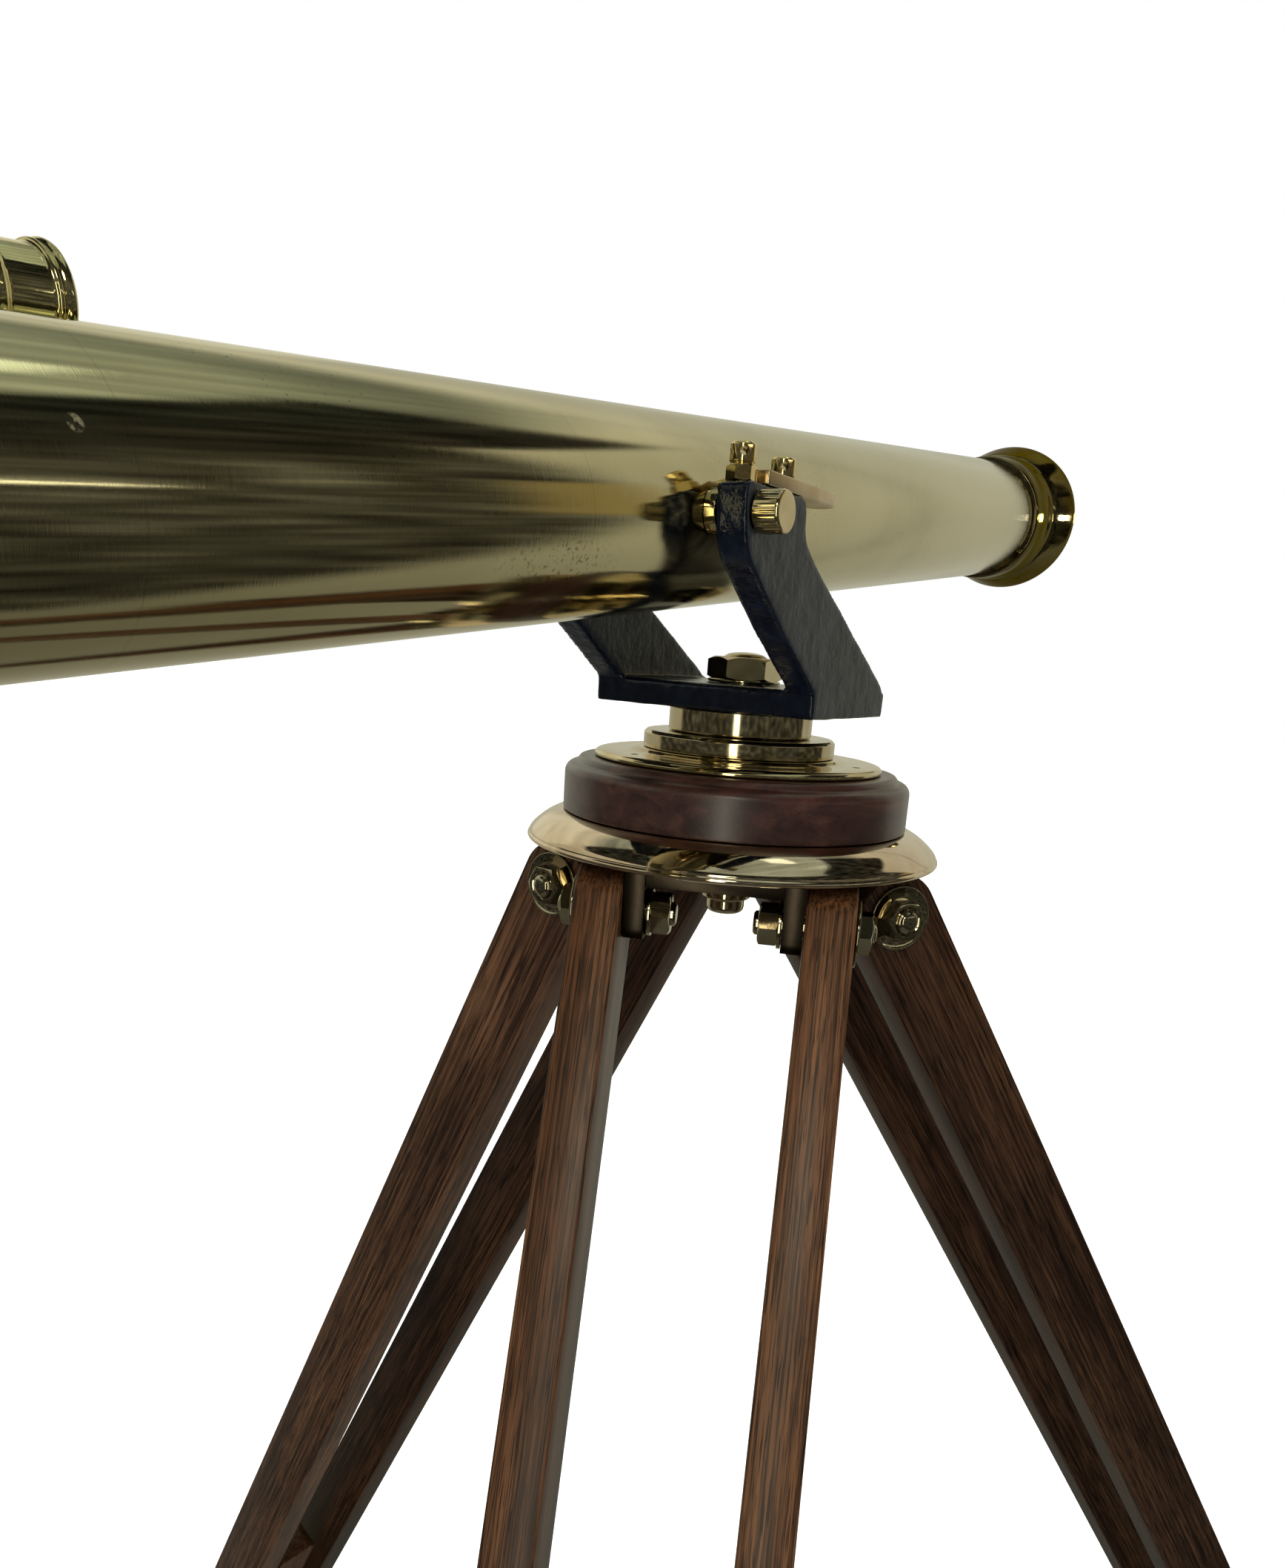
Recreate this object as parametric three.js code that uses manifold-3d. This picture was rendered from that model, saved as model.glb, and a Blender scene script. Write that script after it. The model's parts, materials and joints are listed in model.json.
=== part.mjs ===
// Brass refracting telescope on a cast-iron yoke and a three-legged wooden stand.
// Millimetres, +Z up, objective towards +X, feet on z = 0.
import * as THREE from 'three';
import { mergeVertices } from 'three/addons/utils/BufferGeometryUtils.js';
import Module from 'manifold-3d';

const wasm = await Module();
wasm.setup();

// ---- driving dimensions -------------------------------------------------------------------
const GAP = 0.3; // running clearance between neighbouring pieces
const ROUND = { large: 28, medium: 18, small: 12 }; // sides of a turned piece
const RIM_HEIGHT = 1220; // lip of the leg flange above the floor

// telescope tube: axis leans up towards the objective, x is counted from the trunnions
const TUBE_PITCH = THREE.MathUtils.degToRad(6.8);
const TRUNNION = { x: -116, z: 155.6 }; // from the head axis and the rim plane
const TUBE_RADIUS = 41.5;
const TUBE_WALL = 1.5;
const TUBE_FRONT = 479;
const TUBE_REAR = -430;
const BORE_RADIUS = TUBE_RADIUS - TUBE_WALL;
const CELL_LIP = 554.4; // foremost edge of the flared objective cell
const LENS_RADIUS = 38.1; // three-inch objective

// focuser
const NECK_RADIUS = 25;
const SOCKET_RADIUS = 27.3; // mouth of the tail collar that takes the neck
const DRAW_RADIUS = 21.4;
const DRAW_BORE = 20;
const RACK_PITCH = Math.PI; // one millimetre module
const PINION_TEETH = 12;
const PINION_X = -507;
const PINION_Z = -30.4;

// finder telescope, on the far upper side of the tube
const FINDER_OFFSET = 70.9;
const FINDER_ROLL = THREE.MathUtils.degToRad(-41.3);
const FINDER_FRONT = -218.6;
const FINDER_RADIUS = 12.6;

// yoke
const ARM_INNER = 47;
const ARM_OUTER = 62;
const YOKE_BOTTOM = 72;
const YOKE_BASE = 13;
const ARM_TOP = 166.5;
const SCREW_Y = 53.2;
const REAR_SCREW_X = -117;
const FRONT_SCREW_X = -81;
const KEEPER_HEIGHT = 6;

// head, heights above the rim plane
const PIVOT_RADIUS = 12;
const FLANGE = { radius: 110, top: 14.5, under: -3.4 };
const DISC = { radius: 91.6, bottom: 14.8, top: 43.2 };
const PLATE = { radius: 76.3, bottom: 43.5, top: 49.5 };
const PLATE_HOLES = { angles: [-84, 36, 156], circle: 65.4, radius: 2, bottom: 45.2 };
const LOWER_RING = { radius: 50.7, bottom: 49.8, top: 58.7 };
const UPPER_RING = { radius: 37.9, bottom: 59, top: 71.7 };

// stand: one entry per leg, compass direction and outward lean
const LEGS = [
  { name: 'front', azimuth: -155.8, lean: 28.4 },
  { name: 'right', azimuth: -35.8, lean: 33.7 },
  { name: 'left', azimuth: 84.2, lean: 26.9 },
];
const HINGE_RADIUS = 66.8;
const HINGE_Z = -27.1;
const BAR = { offset: 55.7, thickness: 23.5, width: 45.9, length: 960, taper: 0.0106 };
const LUG = { thickness: 10, inner: 33.3, width: 34, bottom: -38.4 };
const HINGE_BOLT_RADIUS = 6;
const BAR_HOLE_RADIUS = 6.7; // wider than the bolt, because the bars taper across it
const SLIDER = { width: 46, thickness: 26, length: 507 };
const FOOT_LENGTH = 46;

// ---- solids -------------------------------------------------------------------------------
function toSolid(geometry) {
  const bare = geometry.index ? geometry.toNonIndexed() : geometry.clone();
  bare.deleteAttribute('normal');
  bare.deleteAttribute('uv');
  const merged = mergeVertices(bare, 1e-4);
  const points = merged.attributes.position.array;
  let corners = Array.from(merged.index.array);
  if (signedVolume(points, corners) < 0) {
    corners = corners.reverse();
  }
  return new wasm.Manifold(
    new wasm.Mesh({
      numProp: 3,
      vertProperties: new Float32Array(points),
      triVerts: new Uint32Array(dropSlivers(corners)),
    })
  );
}

function signedVolume(points, corners) {
  const [a, b, c] = [new THREE.Vector3(), new THREE.Vector3(), new THREE.Vector3()];
  let volume = 0;
  for (let i = 0; i < corners.length; i += 3) {
    a.fromArray(points, corners[i] * 3);
    b.fromArray(points, corners[i + 1] * 3);
    c.fromArray(points, corners[i + 2] * 3);
    volume += a.dot(b.cross(c));
  }
  return volume;
}

// triangles with a repeated corner appear where a turned profile touches its axis
function dropSlivers(corners) {
  const kept = [];
  for (let i = 0; i < corners.length; i += 3) {
    const [a, b, c] = corners.slice(i, i + 3);
    if (a !== b && b !== c && c !== a) {
      kept.push(a, b, c);
    }
  }
  return kept;
}

function toGeometry(solid) {
  const mesh = solid.getMesh();
  const geometry = new THREE.BufferGeometry();
  geometry.setAttribute('position', new THREE.BufferAttribute(mesh.vertProperties, 3));
  geometry.setIndex(new THREE.BufferAttribute(mesh.triVerts, 1));
  return geometry;
}

// turned piece: profile of [height along the axis, radius], closed for a ring
function turned(profile, axis = 'z', segments = ROUND.medium) {
  const geometry = new THREE.LatheGeometry(
    profile.map(([height, radius]) => new THREE.Vector2(radius, height)),
    segments
  );
  if (axis === 'z') {
    geometry.rotateX(Math.PI / 2);
  }
  if (axis === 'x') {
    geometry.rotateZ(-Math.PI / 2);
  }
  return geometry;
}

function ring(profile, axis, segments) {
  return turned([...profile, profile[0]], axis, segments);
}

function rod(radius, from, to, axis = 'z', segments = ROUND.small) {
  return turned([[from, 0], [from, radius], [to, radius], [to, 0]], axis, segments);
}

function block(low, high) {
  const size = high.map((value, i) => value - low[i]);
  const geometry = new THREE.BoxGeometry(...size);
  geometry.translate(...high.map((value, i) => (value + low[i]) / 2));
  return geometry;
}

// flat outline in the XZ plane, thick along Y
function slab(shape, fromY, toY, curveSegments = 3) {
  const geometry = new THREE.ExtrudeGeometry(shape, {
    depth: toY - fromY,
    bevelEnabled: false,
    curveSegments,
  });
  geometry.rotateX(Math.PI / 2);
  geometry.translate(0, toY, 0);
  return geometry;
}

function hexagon(acrossFlats, from, to, axis = 'z') {
  return rod(acrossFlats / Math.sqrt(3), from, to, axis, 6);
}

function union(...geometries) {
  return geometries.map(toSolid).reduce((sum, next) => sum.add(next));
}

function outline(points) {
  return new THREE.Shape(points.map(([x, y]) => new THREE.Vector2(x, y)));
}

// outline whose corners are rounded; a point is [x, y, radius]
function rounded(points) {
  const shape = new THREE.Shape();
  points.forEach(([x, y, radius], i) => {
    const here = new THREE.Vector2(x, y);
    const [px, py] = points[(i + points.length - 1) % points.length];
    const [nx, ny] = points[(i + 1) % points.length];
    const arrive = new THREE.Vector2(px, py).sub(here).setLength(radius).add(here);
    const leave = new THREE.Vector2(nx, ny).sub(here).setLength(radius).add(here);
    if (i === 0) {
      shape.moveTo(arrive.x, arrive.y);
    } else {
      shape.lineTo(arrive.x, arrive.y);
    }
    shape.quadraticCurveTo(x, y, leave.x, leave.y);
  });
  shape.closePath();
  return shape;
}

// ---- materials ----------------------------------------------------------------------------
const finish = (color, roughness, metalness) =>
  new THREE.MeshStandardMaterial({ color, roughness, metalness });
const brushedBrass = finish(0xa99c6c, 0.32, 1);
const polishedBrass = finish(0xd9bf76, 0.12, 1);
const blackIron = finish(0x1b2130, 0.45, 0);
const rackBrass = finish(0xa98e4e, 0.35, 1);
const oakStain = finish(0x4a2a17, 0.45, 0);
const discStain = finish(0x2b1210, 0.3, 0);
const opticalGlass = finish(0xdfe9ee, 0.02, 0);

const telescope = new THREE.Group();

function piece(parent, name, body, material) {
  const solid = body instanceof wasm.Manifold ? body : toSolid(body);
  const mesh = new THREE.Mesh(toGeometry(solid), material);
  mesh.name = name;
  parent.add(mesh);
  return mesh;
}

// ---- telescope tube -----------------------------------------------------------------------
const tube = new THREE.Group();
tube.position.set(TRUNNION.x, 0, RIM_HEIGHT + TRUNNION.z);
tube.rotation.y = -TUBE_PITCH;
telescope.add(tube);

function makeObjective() {
  const outside = [
    [459, BORE_RADIUS - GAP], [TUBE_FRONT + GAP, BORE_RADIUS - GAP], [TUBE_FRONT + GAP, 43.2],
    [484, 44.1], [504, 44.4], [514.5, 46.4], [518, 46.2], [528, 48.4],
    [540, 51.7], [547, 53.7], [550, 54], [552.8, 53.2], [CELL_LIP, 51.2],
  ];
  const inside = [
    [552.6, 49.6], [544, 46.8], [526, 42.4], [503, 40.3], [503, LENS_RADIUS + GAP],
    [481, LENS_RADIUS + GAP], [481, 36.4], [459, 36.4],
  ];
  piece(tube, 'objective_cell', ring([...outside, ...inside], 'x', ROUND.large), polishedBrass);
  const crown = [
    [490.2, 0], [491, 22], [492.6, LENS_RADIUS],
    [496.6, LENS_RADIUS], [499.4, 21], [500.4, 0],
  ];
  piece(tube, 'objective_crown_lens', turned(crown, 'x'), opticalGlass);
  const flint = [
    [482.4, 0], [481.4, LENS_RADIUS], [491.9, LENS_RADIUS],
    [490.5, 22], [489.8, 0],
  ];
  piece(tube, 'objective_flint_lens', turned(flint, 'x'), opticalGlass);
}

function makeTube() {
  const wall = [
    [TUBE_REAR, BORE_RADIUS], [TUBE_REAR, TUBE_RADIUS],
    [TUBE_FRONT, TUBE_RADIUS], [TUBE_FRONT, BORE_RADIUS],
  ];
  piece(tube, 'main_tube', ring(wall, 'x', ROUND.large), brushedBrass);
  const collar = [
    [-410, BORE_RADIUS - GAP], [-410, 37.2], [-438, 37.2], [-452, SOCKET_RADIUS],
    [-466, SOCKET_RADIUS], [-466, 29.5], [-457, 31], [-453, 35], [-447, 40],
    [-441, 42.5], [-437, 43.4], [-433, 44.3], [TUBE_REAR - GAP, 43.4],
    [TUBE_REAR - GAP, BORE_RADIUS - GAP],
  ];
  piece(tube, 'tail_collar', ring(collar, 'x', ROUND.large), polishedBrass);
}

// short pin that carries the tube in one yoke arm, saddled to the tube wall
function makeTrunnion(name, side) {
  const profile = [
    [38, 0], [38, 9.2], [46.7, 9.2], [46.7, 6], [62.3, 6], [62.3, 8.5],
    [73, 8.5], [74.3, 7.4], [74.3, 0],
  ];
  const pin = toSolid(turned(profile.map(([y, r]) => [y * side, r]), 'y', 16));
  const bite = toSolid(rod(TUBE_RADIUS + GAP, -20, 20, 'x', ROUND.large));
  piece(tube, name, pin.subtract(bite), polishedBrass);
}

// ---- focuser ------------------------------------------------------------------------------

function makeFocuserBody() {
  const wall = [
    [-445, 21.8], [-445, SOCKET_RADIUS - GAP], [-466.3, SOCKET_RADIUS - GAP], [-466.3, 30],
    [-472, 30], [-474, NECK_RADIUS], [-540, NECK_RADIUS], [-540, 26.5], [-546, 26.5], [-546, 21.8],
  ];
  const box = block([PINION_X - 14, -11, -40.5], [PINION_X + 14, 11, -22.5]);
  const bore = rod(DRAW_RADIUS + 0.4, -560, -440, 'x', ROUND.medium);
  const slot = block([-560, -4.6, -28], [-440, 4.6, -15]);
  const chamber = rod(7.4, -4.6, 4.6, 'y', 16).translate(PINION_X, 0, PINION_Z);
  const shaftHole = rod(3.4, -20, 20, 'y').translate(PINION_X, 0, PINION_Z);
  const body = union(ring(wall, 'x'), box)
    .subtract(toSolid(bore))
    .subtract(toSolid(slot))
    .subtract(toSolid(chamber))
    .subtract(toSolid(shaftHole));
  piece(tube, 'focuser_body', body, polishedBrass);
}

function makeDrawTube() {
  const wall = [
    [-425, DRAW_BORE], [-425, DRAW_RADIUS], [-600, DRAW_RADIUS], [-600, 25],
    [-607, 25], [-607, DRAW_BORE],
  ];
  piece(tube, 'draw_tube', ring(wall, 'x'), brushedBrass);
}

// straight rack under the draw tube, with a gap centred over the pinion
function makeRack() {
  const teeth = 26;
  const start = PINION_X - (teeth / 2) * RACK_PITCH;
  const points = [[start, -21.7], [start, -23.4]];
  for (let i = 0; i < teeth; i += 1) {
    const x = start + (i + 0.5) * RACK_PITCH;
    points.push([x - 1.15, -23.4], [x - 0.3, -25.3], [x + 0.3, -25.3], [x + 1.15, -23.4]);
  }
  const end = start + teeth * RACK_PITCH;
  points.push([end, -23.4], [end, -21.7]);
  piece(tube, 'focus_rack', slab(outline(points), -4, 4), rackBrass);
}

const KNOB_PROFILE = [
  [11.4, 0], [11.4, 6], [19, 6], [20.5, 12], [22, 13.6], [30.5, 13.6], [32.5, 12], [33, 0],
];

// pinion, its shaft and the far knob are one turning
function makePinion() {
  const points = [];
  for (let i = 0; i < PINION_TEETH; i += 1) {
    const middle = (i / PINION_TEETH) * 2 * Math.PI + Math.PI / 2;
    for (const [turn, radius] of [[-0.2, 4.6], [-0.05, 6.6], [0.05, 6.6], [0.2, 4.6]]) {
      const angle = middle + turn;
      points.push([radius * Math.cos(angle), radius * Math.sin(angle)]);
    }
  }
  const gear = slab(outline(points), -4, 4);
  const shaft = rod(3, -31, 20, 'y');
  const knob = turned(KNOB_PROFILE, 'y');
  const pinion = toGeometry(union(gear, shaft, knob)).translate(PINION_X, 0, PINION_Z);
  piece(tube, 'focus_pinion', pinion, polishedBrass);
}

function makeFocusKnob() {
  const knob = toSolid(turned(KNOB_PROFILE.map(([y, r]) => [-y, r]), 'y'));
  const body = knob.subtract(toSolid(rod(3 + GAP, -31 - GAP, 0, 'y')));
  const moved = toGeometry(body).translate(PINION_X, 0, PINION_Z);
  piece(tube, 'focus_knob', moved, polishedBrass);
}

function makeEyepiece() {
  const wall = [
    [-566, 14], [-566, DRAW_BORE - GAP], [-607.3, DRAW_BORE - GAP], [-607.3, 23],
    [-624, 23], [-634, 19.2], [-648, 17.6], [-651, 19.4],
    [-656, 19.4], [-657, 11], [-652, 8], [-650, 8], [-650, 10.3],
    [-644, 10.3], [-644, 14],
  ];
  piece(tube, 'eyepiece_barrel', ring(wall, 'x'), polishedBrass);
  const field = [[-572, 0], [-573, 13.7], [-575.5, 13.7], [-578.6, 0]];
  piece(tube, 'eyepiece_field_lens', turned(field, 'x', ROUND.small), opticalGlass);
  const eye = [[-644.4, 0], [-646, 10], [-649.7, 10], [-649.7, 0]];
  piece(tube, 'eyepiece_eye_lens', turned(eye, 'x', ROUND.small), opticalGlass);
}

// ---- finder -------------------------------------------------------------------------------
const finder = new THREE.Group();
finder.rotation.x = FINDER_ROLL;
tube.add(finder);

function makeFinder() {
  const lift = (geometry) => geometry.translate(0, 0, FINDER_OFFSET);
  const wall = [
    [-240, 11.4], [-240, FINDER_RADIUS], [-450, FINDER_RADIUS], [-451, 13.8], [-457, 13.8],
    [-460, 12.6], [-468, 10.6], [-482, 10.6], [-482, 8.6], [-463, 8.6], [-456, 11.4],
  ];
  piece(finder, 'finder_tube', lift(ring(wall, 'x')), brushedBrass);
  const cell = [
    [-250, FINDER_RADIUS + GAP], [-250, 14.6], [-244.5, 14.6], [-240, 15.2], [-237, 15.2],
    [-236, 13.8], [-223.6, 13.8], [-223, 15.6], [FINDER_FRONT, 15.6], [FINDER_FRONT, 12.6],
    [-221, 11.6], [-239.7, 11.6], [-239.7, FINDER_RADIUS + GAP],
  ];
  piece(finder, 'finder_objective_cell', lift(ring(cell, 'x')), polishedBrass);
  const lens = [
    [-236.4, 0], [-234.8, 11.3], [-232, 11.3], [-230.4, 0],
  ];
  piece(finder, 'finder_objective_lens', lift(turned(lens, 'x', ROUND.small)), opticalGlass);
  const eyepiece = [
    [-466, 6.6], [-466, 8.3], [-496, 8.3], [-497, 11], [-505, 11],
    [-507, 5], [-499, 3.6], [-499, 6.6],
  ];
  piece(finder, 'finder_eyepiece', lift(ring(eyepiece, 'x', 16)), polishedBrass);
}

function makeFinderBracket(name, x) {
  const band = [
    [x - 6, FINDER_RADIUS + GAP], [x - 6, 15.8], [x + 6, 15.8], [x + 6, FINDER_RADIUS + GAP],
  ];
  const collar = ring(band, 'x').translate(0, 0, FINDER_OFFSET);
  const post = block([x - 5, -5, 40], [x + 5, 5, FINDER_OFFSET - 13.5]);
  const foot = block([x - 15, -11, 36], [x + 15, 11, 44.6]);
  const body = union(collar, post, foot)
    .subtract(toSolid(rod(TUBE_RADIUS + GAP, x - 30, x + 30, 'x', ROUND.large)))
    .subtract(toSolid(rod(FINDER_RADIUS + GAP, x - 30, x + 30, 'x', ROUND.medium)
      .translate(0, 0, FINDER_OFFSET)));
  piece(finder, name, body, polishedBrass);
}

// ---- yoke ---------------------------------------------------------------------------------
const head = new THREE.Group();
head.position.z = RIM_HEIGHT;
telescope.add(head);

function armOutline() {
  return rounded([
    [-46, YOKE_BOTTOM, 3], [44, YOKE_BOTTOM, 3], [40, YOKE_BOTTOM + 15, 7], [-58, 141, 9],
    [-70, 150, 5], [-72.5, ARM_TOP, 3], [-127.5, ARM_TOP, 5], [-124, 140, 10],
    [-83, 109, 6], [-45.5, YOKE_BOTTOM + 12, 3],
  ]);
}

function makeYoke() {
  const shape = armOutline();
  const base = block([-46, -ARM_OUTER, YOKE_BOTTOM], [42.5, ARM_OUTER, YOKE_BOTTOM + YOKE_BASE]);
  let body = union(slab(shape, -ARM_OUTER, -ARM_INNER), slab(shape, ARM_INNER, ARM_OUTER), base);
  const holes = [
    rod(6.3, -70, 70, 'y', 16).translate(TRUNNION.x, 0, TRUNNION.z),
    rod(PIVOT_RADIUS + GAP, 50, 100, 'z', ROUND.medium),
  ];
  for (const side of [-1, 1]) {
    for (const x of [REAR_SCREW_X, FRONT_SCREW_X]) {
      holes.push(rod(3.4, 158, 180, 'z', 10).translate(x, side * SCREW_Y, 0));
    }
  }
  for (const hole of holes) {
    body = body.subtract(toSolid(hole));
  }
  piece(head, 'yoke', body, blackIron);
}

// screw with a cross-drilled head, turned with a tommy bar
function makeClampScrew(name, x, y, shankEnd) {
  const base = ARM_TOP + GAP;
  const collar = hexagon(11, base, base + KEEPER_HEIGHT);
  const drum = turned([
    [base + 1, 0], [base + 1, 5.2], [base + 14, 5.2], [base + 14.8, 4.4], [base + 14.8, 0],
  ], 'z', 14);
  const shank = rod(3, shankEnd, base + 2, 'z', 8);
  const hole = rod(1.7, -8, 8, 'y', 8).translate(0, 0, base + 11);
  const hole2 = rod(1.7, -8, 8, 'x', 8).translate(0, 0, base + 11);
  const body = union(collar, drum, shank).subtract(toSolid(hole)).subtract(toSolid(hole2));
  piece(head, name, toGeometry(body).rotateZ(0.6).translate(x, y, 0), polishedBrass);
}

// flat bar lying on the arm round the front screw
function makeKeeper(name, side) {
  const half = 8.2;
  const rear = REAR_SCREW_X + 8.5;
  const front = -37;
  const shape = new THREE.Shape();
  shape.moveTo(rear, -half);
  shape.lineTo(front - half, -half);
  shape.absarc(front - half, 0, half, -Math.PI / 2, Math.PI / 2);
  shape.lineTo(rear, half);
  shape.closePath();
  const opening = new THREE.Path();
  opening.absarc(FRONT_SCREW_X, 0, 6.8, 0, 2 * Math.PI, true);
  shape.holes.push(opening);
  const bar = new THREE.ExtrudeGeometry(shape, {
    depth: KEEPER_HEIGHT,
    bevelEnabled: false,
    curveSegments: 6,
  });
  bar.translate(0, side * SCREW_Y, ARM_TOP + GAP);
  piece(head, name, bar, polishedBrass);
}

// ---- head ---------------------------------------------------------------------------------
function washerProfile(inner, outer, bottom, top, chamfer = 0.8) {
  return [
    [bottom, inner], [bottom, outer], [top - chamfer, outer], [top, outer - chamfer], [top, inner],
  ];
}

function makeHead() {
  const hole = PIVOT_RADIUS + GAP;
  const upper = washerProfile(hole, UPPER_RING.radius, UPPER_RING.bottom, UPPER_RING.top);
  piece(head, 'azimuth_ring_upper', ring(upper, 'z', ROUND.large), polishedBrass);
  const lower = washerProfile(hole, LOWER_RING.radius, LOWER_RING.bottom, LOWER_RING.top);
  piece(head, 'azimuth_ring_lower', ring(lower, 'z', ROUND.large), polishedBrass);
  const plate = [
    [PLATE.bottom, hole], [PLATE.bottom, PLATE.radius], [45.5, PLATE.radius],
    [47, 74.8], [47.6, 68], [47.6, 56.5], [PLATE.top, 54.5], [PLATE.top, hole],
  ];
  let plateBody = toSolid(ring(plate, 'z', ROUND.large));
  for (const degrees of PLATE_HOLES.angles) {
    const angle = THREE.MathUtils.degToRad(degrees);
    const drill = rod(PLATE_HOLES.radius, PLATE_HOLES.bottom, PLATE.top, 'z', 12);
    drill.translate(PLATE_HOLES.circle * Math.cos(angle), PLATE_HOLES.circle * Math.sin(angle), 0);
    plateBody = plateBody.subtract(toSolid(drill));
  }
  piece(head, 'head_plate', plateBody, polishedBrass);
  const disc = [
    [DISC.bottom, hole], [DISC.bottom, DISC.radius], [36, DISC.radius], [38.5, 89.5],
    [39.5, 86.5], [DISC.top, 83], [DISC.top, hole],
  ];
  piece(head, 'head_disc', ring(disc, 'z', ROUND.large), discStain);
  const flange = [
    [FLANGE.under, hole], [FLANGE.under, 98], [-1.6, 107], [-1, 109.4],
    [0.2, FLANGE.radius], [1.6, 109.6], [4.2, 108], [8.8, 103.2], [12.8, 96.8],
    [FLANGE.top, 92.6], [FLANGE.top, hole],
  ];
  piece(head, 'leg_flange', ring(flange, 'z', ROUND.large), polishedBrass);
}

function makePivot() {
  const shank = rod(PIVOT_RADIUS, -30, 97, 'z', 16);
  const dome = turned([[97, 0], [97, PIVOT_RADIUS], [99.6, 9.6], [101, 0]], 'z', 16);
  const bottomNut = hexagon(30, -23.6, -14);
  const washer = rod(17.5, -15, -12.2, 'z', 16);
  const tip = turned([
    [-38.8, 0], [-38.8, 7.6], [-37.4, 9.8], [-35.4, 10.4], [-30.3, 10.4], [-30.3, 12.8], [-29.6, 13.3],
    [-23, 13.9], [-23, 0],
  ], 'z', 16);
  piece(head, 'pivot_bolt', union(shank, dome, bottomNut, washer, tip), polishedBrass);
  const bottom = YOKE_BOTTOM + YOKE_BASE + GAP;
  const seat = rod(19, bottom, bottom + 1.6, 'z', 18);
  const body = union(hexagon(34, bottom, bottom + 13).rotateZ(Math.PI / 6), seat)
    .subtract(toSolid(rod(PIVOT_RADIUS + GAP, 70, 120, 'z', 16)));
  piece(head, 'pivot_nut', body, polishedBrass);
}

// hub under the flange with a pair of hanging lugs for each leg
function makeSpider() {
  const top = FLANGE.under - GAP;
  const low = top - 8;
  let body = toSolid(rod(44, low, top, 'z', 24));
  for (const leg of LEGS) {
    const turn = THREE.MathUtils.degToRad(leg.azimuth);
    const reach = LUG.inner + LUG.thickness;
    const parts = [block([20, -reach, low], [HINGE_RADIUS + 15, reach, top])];
    for (const side of [-1, 1]) {
      const shape = rounded([
        [HINGE_RADIUS - LUG.width / 2, top, 0.5], [HINGE_RADIUS - LUG.width / 2, LUG.bottom, 6],
        [HINGE_RADIUS + LUG.width / 2, LUG.bottom, 6], [HINGE_RADIUS + LUG.width / 2, top, 0.5],
      ]);
      const [from, to] = side < 0 ? [-reach, -LUG.inner] : [LUG.inner, reach];
      parts.push(slab(shape, from, to));
    }
    let pair = union(...parts);
    const hole = rod(HINGE_BOLT_RADIUS + GAP, -60, 60, 'y', 12).translate(HINGE_RADIUS, 0, HINGE_Z);
    pair = pair.subtract(toSolid(hole));
    body = body.add(toSolid(toGeometry(pair).rotateZ(turn)));
  }
  body = body.subtract(toSolid(rod(PIVOT_RADIUS + GAP, -60, 20, 'z', 16)));
  piece(head, 'lug_spider', body, polishedBrass);
}

// ---- stand --------------------------------------------------------------------------------
// bolt, nuts and washers that hold one bar against its lug
function makeHingeBolt(holder, name, side) {
  const out = BAR.offset + BAR.thickness / 2 + 0.5;
  const inn = LUG.inner - GAP;
  const along = (profile) => profile.map(([y, r]) => [y * side, r]);
  const core = turned(along([
    [inn - 14, 0], [inn - 14, HINGE_BOLT_RADIUS], [out + 8.6, HINGE_BOLT_RADIUS],
    [out + 10.4, 4.2], [out + 11, 0],
  ]), 'y', ROUND.small);
  const outerWasher = turned(along([
    [out, 0], [out, 17.4], [out + 1.8, 17.4], [out + 1.8, 0],
  ]), 'y', 18);
  const innerWasher = turned(along([
    [inn, 0], [inn, 11.8], [inn - 2, 11.8], [inn - 2, 0],
  ]), 'y', ROUND.small);
  const outerNut = hexagon(19, side * (out + 1), side * (out + 8.4), 'y');
  const innerNut = hexagon(19, side * (inn - 1.5), side * (inn - 11.5), 'y');
  piece(holder, name, union(core, outerWasher, innerWasher, outerNut, innerNut), polishedBrass);
}

// bar of one leg, hanging from the hinge bolt, with a round top
function makeBar(leaning, name, side) {
  const half = BAR.width / 2;
  const shape = new THREE.Shape();
  shape.moveTo(-half, 0);
  shape.lineTo(-half, -BAR.length);
  shape.lineTo(half, -BAR.length);
  shape.lineTo(half, 0);
  shape.absarc(0, 0, half, 0, Math.PI);
  const opening = new THREE.Path();
  opening.absarc(0, 0, BAR_HOLE_RADIUS, 0, 2 * Math.PI, true);
  shape.holes.push(opening);
  const bar = slab(shape, -BAR.thickness / 2, BAR.thickness / 2, 6);
  bar.rotateX(-side * BAR.taper);
  bar.translate(0, side * BAR.offset, 0);
  piece(leaning, name, bar, oakStain);
}

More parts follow.
